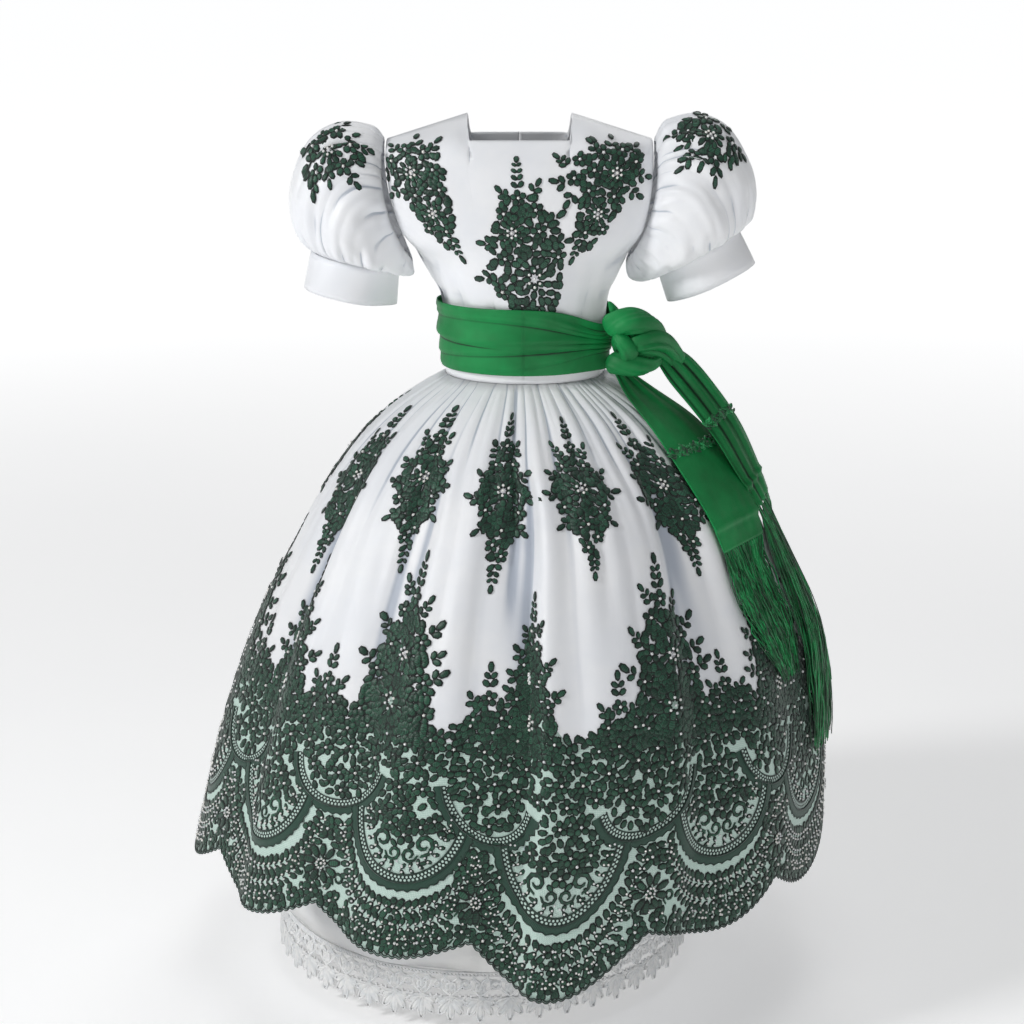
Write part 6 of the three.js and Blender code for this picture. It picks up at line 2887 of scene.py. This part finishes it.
@dataclass
class Guipure:
    """White guipure edging: a net of hearts and rosettes over fans of rounded lobes."""

    form: RingForm = field(default_factory=lambda: RingForm(rows=((-904.1, 235.5, 233.5, -42),
                                                                  (-963, 239, 238, -43))))
    motifs: int = 46
    top: float = -904.6
    cord: float = 1.75
    per_degree: float = math.radians(237)
    flat: tuple = (1.50, 0.070, 0.105)

    def place(self, angle: float, x: Array, y: Array, lift: Number) -> Array:
        """Points at x and y in mm from the top middle of a motif.

        Args:
            angle: the motif's angle in degrees.
            x: mm to the side.
            y: mm up.
            lift: mm off the petticoat.

        Returns:
            Points in metres, one for each place.
        """
        a = angle + np.asarray(x, float) / self.per_degree
        point, normal, _, _ = self.form.frame(a, (self.top + np.asarray(y, float)) * MM)
        return point + normal * (0.9 + lift) * MM

    def loop(self, x: float, y: float, turn: float, length: float, width: float, steps: int = 10) -> tuple:
        """Closed drop shape from its point at (x, y), pointing in a direction.

        Args:
            x: mm to the side.
            y: mm up.
            turn: direction in degrees.
            length: its length in mm.
            width: its width in mm.
            steps: points along it.

        Returns:
            Its x and y.
        """
        t = np.linspace(0, 2 * np.pi, steps)
        along = length * (1 - np.cos(t)) / 2
        across = width / 2 * np.sin(t) * np.sin(t / 2) ** 0.7
        c, s = heading(turn)
        return x + along * c - across * s, y + along * s + across * c

    def build(self, shop: Workshop, thread: bpy.types.Material) -> None:
        """Makes and dresses the edging.

        Args:
            shop: the trees and finishes for lace.
            thread: the white thread.
        """
        lines, thick, seats = [], [], []
        pitch = 360 / self.motifs
        half = pitch * self.per_degree / 2
        for n in range(self.motifs):
            angle = n * pitch
            shapes = []
            for y in (-0.8, -4.4):
                shapes.append((np.linspace(-half, half, 12), np.full(12, y), 0.9))
            for x in np.arange(-half + 2, half, 4.0):
                shapes.append((np.array([x, x + 1.6]), np.array([-0.8, -4.4]), 0.6))
            for hand in (-1, 1):
                shapes.append((*self.loop(0, -27, 90 + hand * 24, 21, 13), 0.9))
                shapes.append((*self.loop(hand * 1.2, -24, 90 + hand * 24, 12, 6.5), 0.6))
                shapes.append((np.array([hand * 6.5, hand * 9, hand * half]), np.array([-5, -9, -10.5]), 0.6))
                shapes.append((np.array([hand * 9, hand * 12, hand * half]), np.array([-17, -20, -19]), 0.6))
                shapes.append((*self.loop(hand * 2, -30, 270 + hand * 62, 16, 7.5), 0.9))
                shapes.append((*self.loop(hand * 1, -31, 270 + hand * 32, 22, 8), 0.9))
                seats.append((angle, hand * 2.6, -31.5, 270 + hand * 62, 13, 5.6))
                seats.append((angle, hand * 1.6, -33, 270 + hand * 32, 19, 6.4))
                seats.append((angle, hand * 5.0, -24.5, 90 + hand * 10, 9, 4.6))
                seats.append((angle, hand * 9.5, -7.0, 270 - hand * 40, 8, 4.4))
                shapes.append((hand * (half - 3.2 + 3.2 * np.cos(np.linspace(0, np.pi, 7))),
                               -26 - 5 * np.sin(np.linspace(0, np.pi, 7)), 0.7))
            shapes.append((*self.loop(0, -31, 270, 26, 8.5), 0.9))
            seats.append((angle, 0.0, -33, 270, 22, 6.8))
            seats.append((angle, 0.0, -22, 90, 10, 6.4))
            seats.append((angle, 0.0, -27.5, 270, 6, 7.0))
            ring = np.linspace(0, 2 * np.pi, 11)
            shapes.append((half + 3.6 * np.cos(ring), -14.5 + 3.6 * np.sin(ring), 0.8))
            for k in range(6):
                way = k * 60 + 30
                c, s = heading(way)
                seats.append((angle, half + 1.6 * c, -14.5 + 1.6 * s, way, 5.0, 4.0))
            shapes.append((np.array([-half, -half * 0.45, 0, half * 0.45, half]),
                           np.array([-29, -30.5, -28.5, -30.5, -29]), 1.2))
            for x, y, heavy in shapes:
                lines.append(self.place(angle, x, y, 0.0))
                thick.append(np.full(len(x), heavy))
        cords = shop.spinner.spin("guipure_cords", lines, self.cord * MM, 3, thread, thick)
        dress(cords, thread, "white_guipure", "guipure_trim")
        rows = []
        for n, (angle, x, y, way, length, width) in enumerate(seats):
            rows.append((angle + x / self.per_degree, (self.top + y) * MM, math.radians(way), length * MM, width * MM,
                         0.5 * MM, (n * 0.37) % 1))
        lobes = shop.sower.sow("guipure_lobes", self.form, np.array(rows), leaf_template(), 1.8 * MM, thread)
        dress(lobes, thread, "white_guipure")


@dataclass(frozen=True)
class WhiteThread:
    """Matt white cotton thread."""

    colour: Colour = (250, 250, 249)
    shaded: Colour = (238, 240, 241)

    def make(self, effects: Effects) -> bpy.types.Material:
        """Builds the material.

        Args:
            effects: the shared node groups.

        Returns:
            The material.
        """
        draft = MaterialDraft("white_cotton_thread", Roughness=0.75, Specular_IOR_Level=0.25)
        tone = effects.use(draft.graph, effects.mottle, {"Vector": draft.place, "Scale": 120.0})
        draft.feed("Base Color", draft.graph.blend(tone, rgba(self.colour), rgba(self.shaded)))
        twist = draft.graph.add("ShaderNodeTexWave", {"Vector": draft.place, "Scale": 1300.0},
                                bands_direction="DIAGONAL")
        draft.bump([(twist.outputs["Fac"], 0.3, 0.0001)])
        return draft.material


# ---- the room -----------------------------------------------------------------------------------

@dataclass
class Studio:
    """Plain pale floor that runs out of sight, soft lights and the camera."""

    floor: float = -0.975
    camera_at: Place = (-0.0081, -2.45, 0.23)
    pitch: float = 15.5
    focal: float = 78.75
    sensor: float = 36.0
    half_width: float = 45.0
    glow_near: float = 0.33
    glow_far: float = 0.86
    glow_reach: tuple = (1.4, 5.0)
    paper: tuple = ((246, 246, 247), (250, 250, 250))
    air: float = 0.15
    air_colour: tuple = (0.95, 0.975, 1.0, 1.0)
    lights: tuple = (("key", (-3.0, -1.5, 1.6), (0.0, 0.0, -0.5), 0.7, 68.0),
                     ("fill", (1.2, -3.2, -0.2), (0.0, 0.0, -0.8), 1.6, 12.0),
                     ("top", (0.2, -0.4, 3.0), (0.0, 0.1, -0.5), 1.6, 20.0),
                     ("back", (0.6, 2.4, 1.6), (0.0, 0.0, -0.4), 1.6, 16.0))

    def build(self) -> None:
        """Makes the floor, the lights and the camera."""
        draft = MaterialDraft("pale_paper", Roughness=0.8, Specular_IOR_Level=0.2, Emission_Strength=1.0)
        graph = draft.graph
        tone = graph.add("ShaderNodeTexNoise", {"Vector": draft.place, "Scale": 3.0})
        draft.feed("Base Color", graph.blend(tone.outputs[0], *map(rgba, self.paper)))
        far = graph.add("ShaderNodeVectorMath", {0: draft.place}, operation="LENGTH").outputs["Value"]
        near_glow, far_glow = (*[self.glow_near] * 3, 1.0), (*[self.glow_far] * 3, 1.0)
        draft.feed("Emission Color", graph.blend(graph.spread(far, *self.glow_reach), near_glow, far_glow))
        wide = self.half_width
        points = np.array([[x, y, self.floor] for x, y in ((-wide, -wide), (wide, -wide), (wide, wide), (-wide, wide))])
        floor = mesh_piece("floor", points, [np.array([[0, 1, 2, 3]])])
        floor.data.materials.append(draft.material)
        for light in self.lights:
            self.light(*light)
        self.sky()
        self.camera()
        settings = bpy.context.scene.view_settings
        settings.view_transform = "Standard"
        settings.look = "None"

    def sky(self) -> None:
        """Makes the air: a dim light all round, which looks white itself."""
        world = bpy.data.worlds.new("studio_air")
        bpy.context.scene.world = world
        world.use_nodes = True
        tree = world.node_tree
        dim = tree.nodes["Background"]
        dim.inputs[0].default_value = self.air_colour
        dim.inputs[1].default_value = self.air
        white = tree.nodes.new("ShaderNodeBackground")
        white.inputs[0].default_value = (1.0, 1.0, 1.0, 1.0)
        mixed, path = tree.nodes.new("ShaderNodeMixShader"), tree.nodes.new("ShaderNodeLightPath")
        tree.links.new(path.outputs["Is Camera Ray"], mixed.inputs[0])
        tree.links.new(dim.outputs[0], mixed.inputs[1])
        tree.links.new(white.outputs[0], mixed.inputs[2])
        tree.links.new(mixed.outputs[0], tree.nodes["World Output"].inputs[0])

    def light(self, name: str, at: Place, towards: Place, size: float, power: float) -> None:
        """Adds a square soft light that faces a point.

        Args:
            name: its name.
            at: where it stands.
            towards: the point that it faces.
            size: its width in metres.
            power: its power in watts.
        """
        lamp = bpy.data.lights.new(name, "AREA")
        lamp.size, lamp.energy = size, power
        lamp_object = placed(name, lamp)
        lamp_object.location = at
        facing = np.array(towards) - np.array(at)
        lamp_object.rotation_euler = (math.atan2(np.hypot(facing[0], facing[1]), -facing[2]), 0.0,
                                      math.atan2(-facing[0], facing[1]))

    def camera(self) -> None:
        """Adds the camera."""
        lens = bpy.data.cameras.new("camera")
        lens.lens, lens.sensor_width = self.focal, self.sensor
        eye = placed("camera", lens)
        eye.location = self.camera_at
        eye.rotation_euler = (math.radians(90 - self.pitch), 0.0, 0.0)
        bpy.context.scene.camera = eye


def main() -> None:
    """Builds the dress piece by piece, then the room."""
    logging.basicConfig(level=logging.INFO, format="%(message)s")
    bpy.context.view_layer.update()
    effects = Effects()
    satin = Cloth("white_satin", (247, 248, 250), (241, 243, 247), 0.37, 0.15, 1800.0, 0.00004, 0.0016).make(effects)
    cotton = Cloth("white_cotton", (238, 238, 236), (230, 231, 232), 0.8, 0.1, 1100.0, 0.0001, 0.001).make(effects)
    # The sash cloth's last colour is the painted shade in its folds.
    sash_cloth = Cloth("green_sash_cloth", (10, 142, 72), (4, 112, 54), 0.5, 0.02, 1300.0, 0.00008, 0.0035, 0.35,
                       (0, 30, 13)).make(effects)
    strands, thread = Strand().make(effects), WhiteThread().make(effects)
    shop = Workshop(Sower(), Spinner(), LaceThread().make(effects), Cord().make(effects), Pearl().make(effects),
                    Net().make(effects), Ladder().make(effects))
    skirt_form = SkirtForm()
    front = BodiceForm(creases=FRONT_CREASES)
    back = BodiceForm(side=Side.BACK, creases=BACK_CREASES)
    left = SleeveForm(creases=LEFT_CREASES)
    right = SleeveForm(side=-1, lift=0.0, fullness=1.0, seed=8, creases=RIGHT_CREASES)
    Skirt(skirt_form).build(satin)
    Border(skirt_form).build(shop)
    Appliques(skirt_form).build(shop)
    Bodice(front, back).build(satin)
    Sleeve(left, "left").build(satin)
    Sleeve(right, "right").build(satin)
    BodiceLace(front, left, right).build(shop)
    Sash(skirt_form).build(shop, sash_cloth, strands)
    Underskirt().build(cotton, satin)
    Guipure().build(shop, thread)
    Studio().build()


if __name__ == "__main__":
    main()
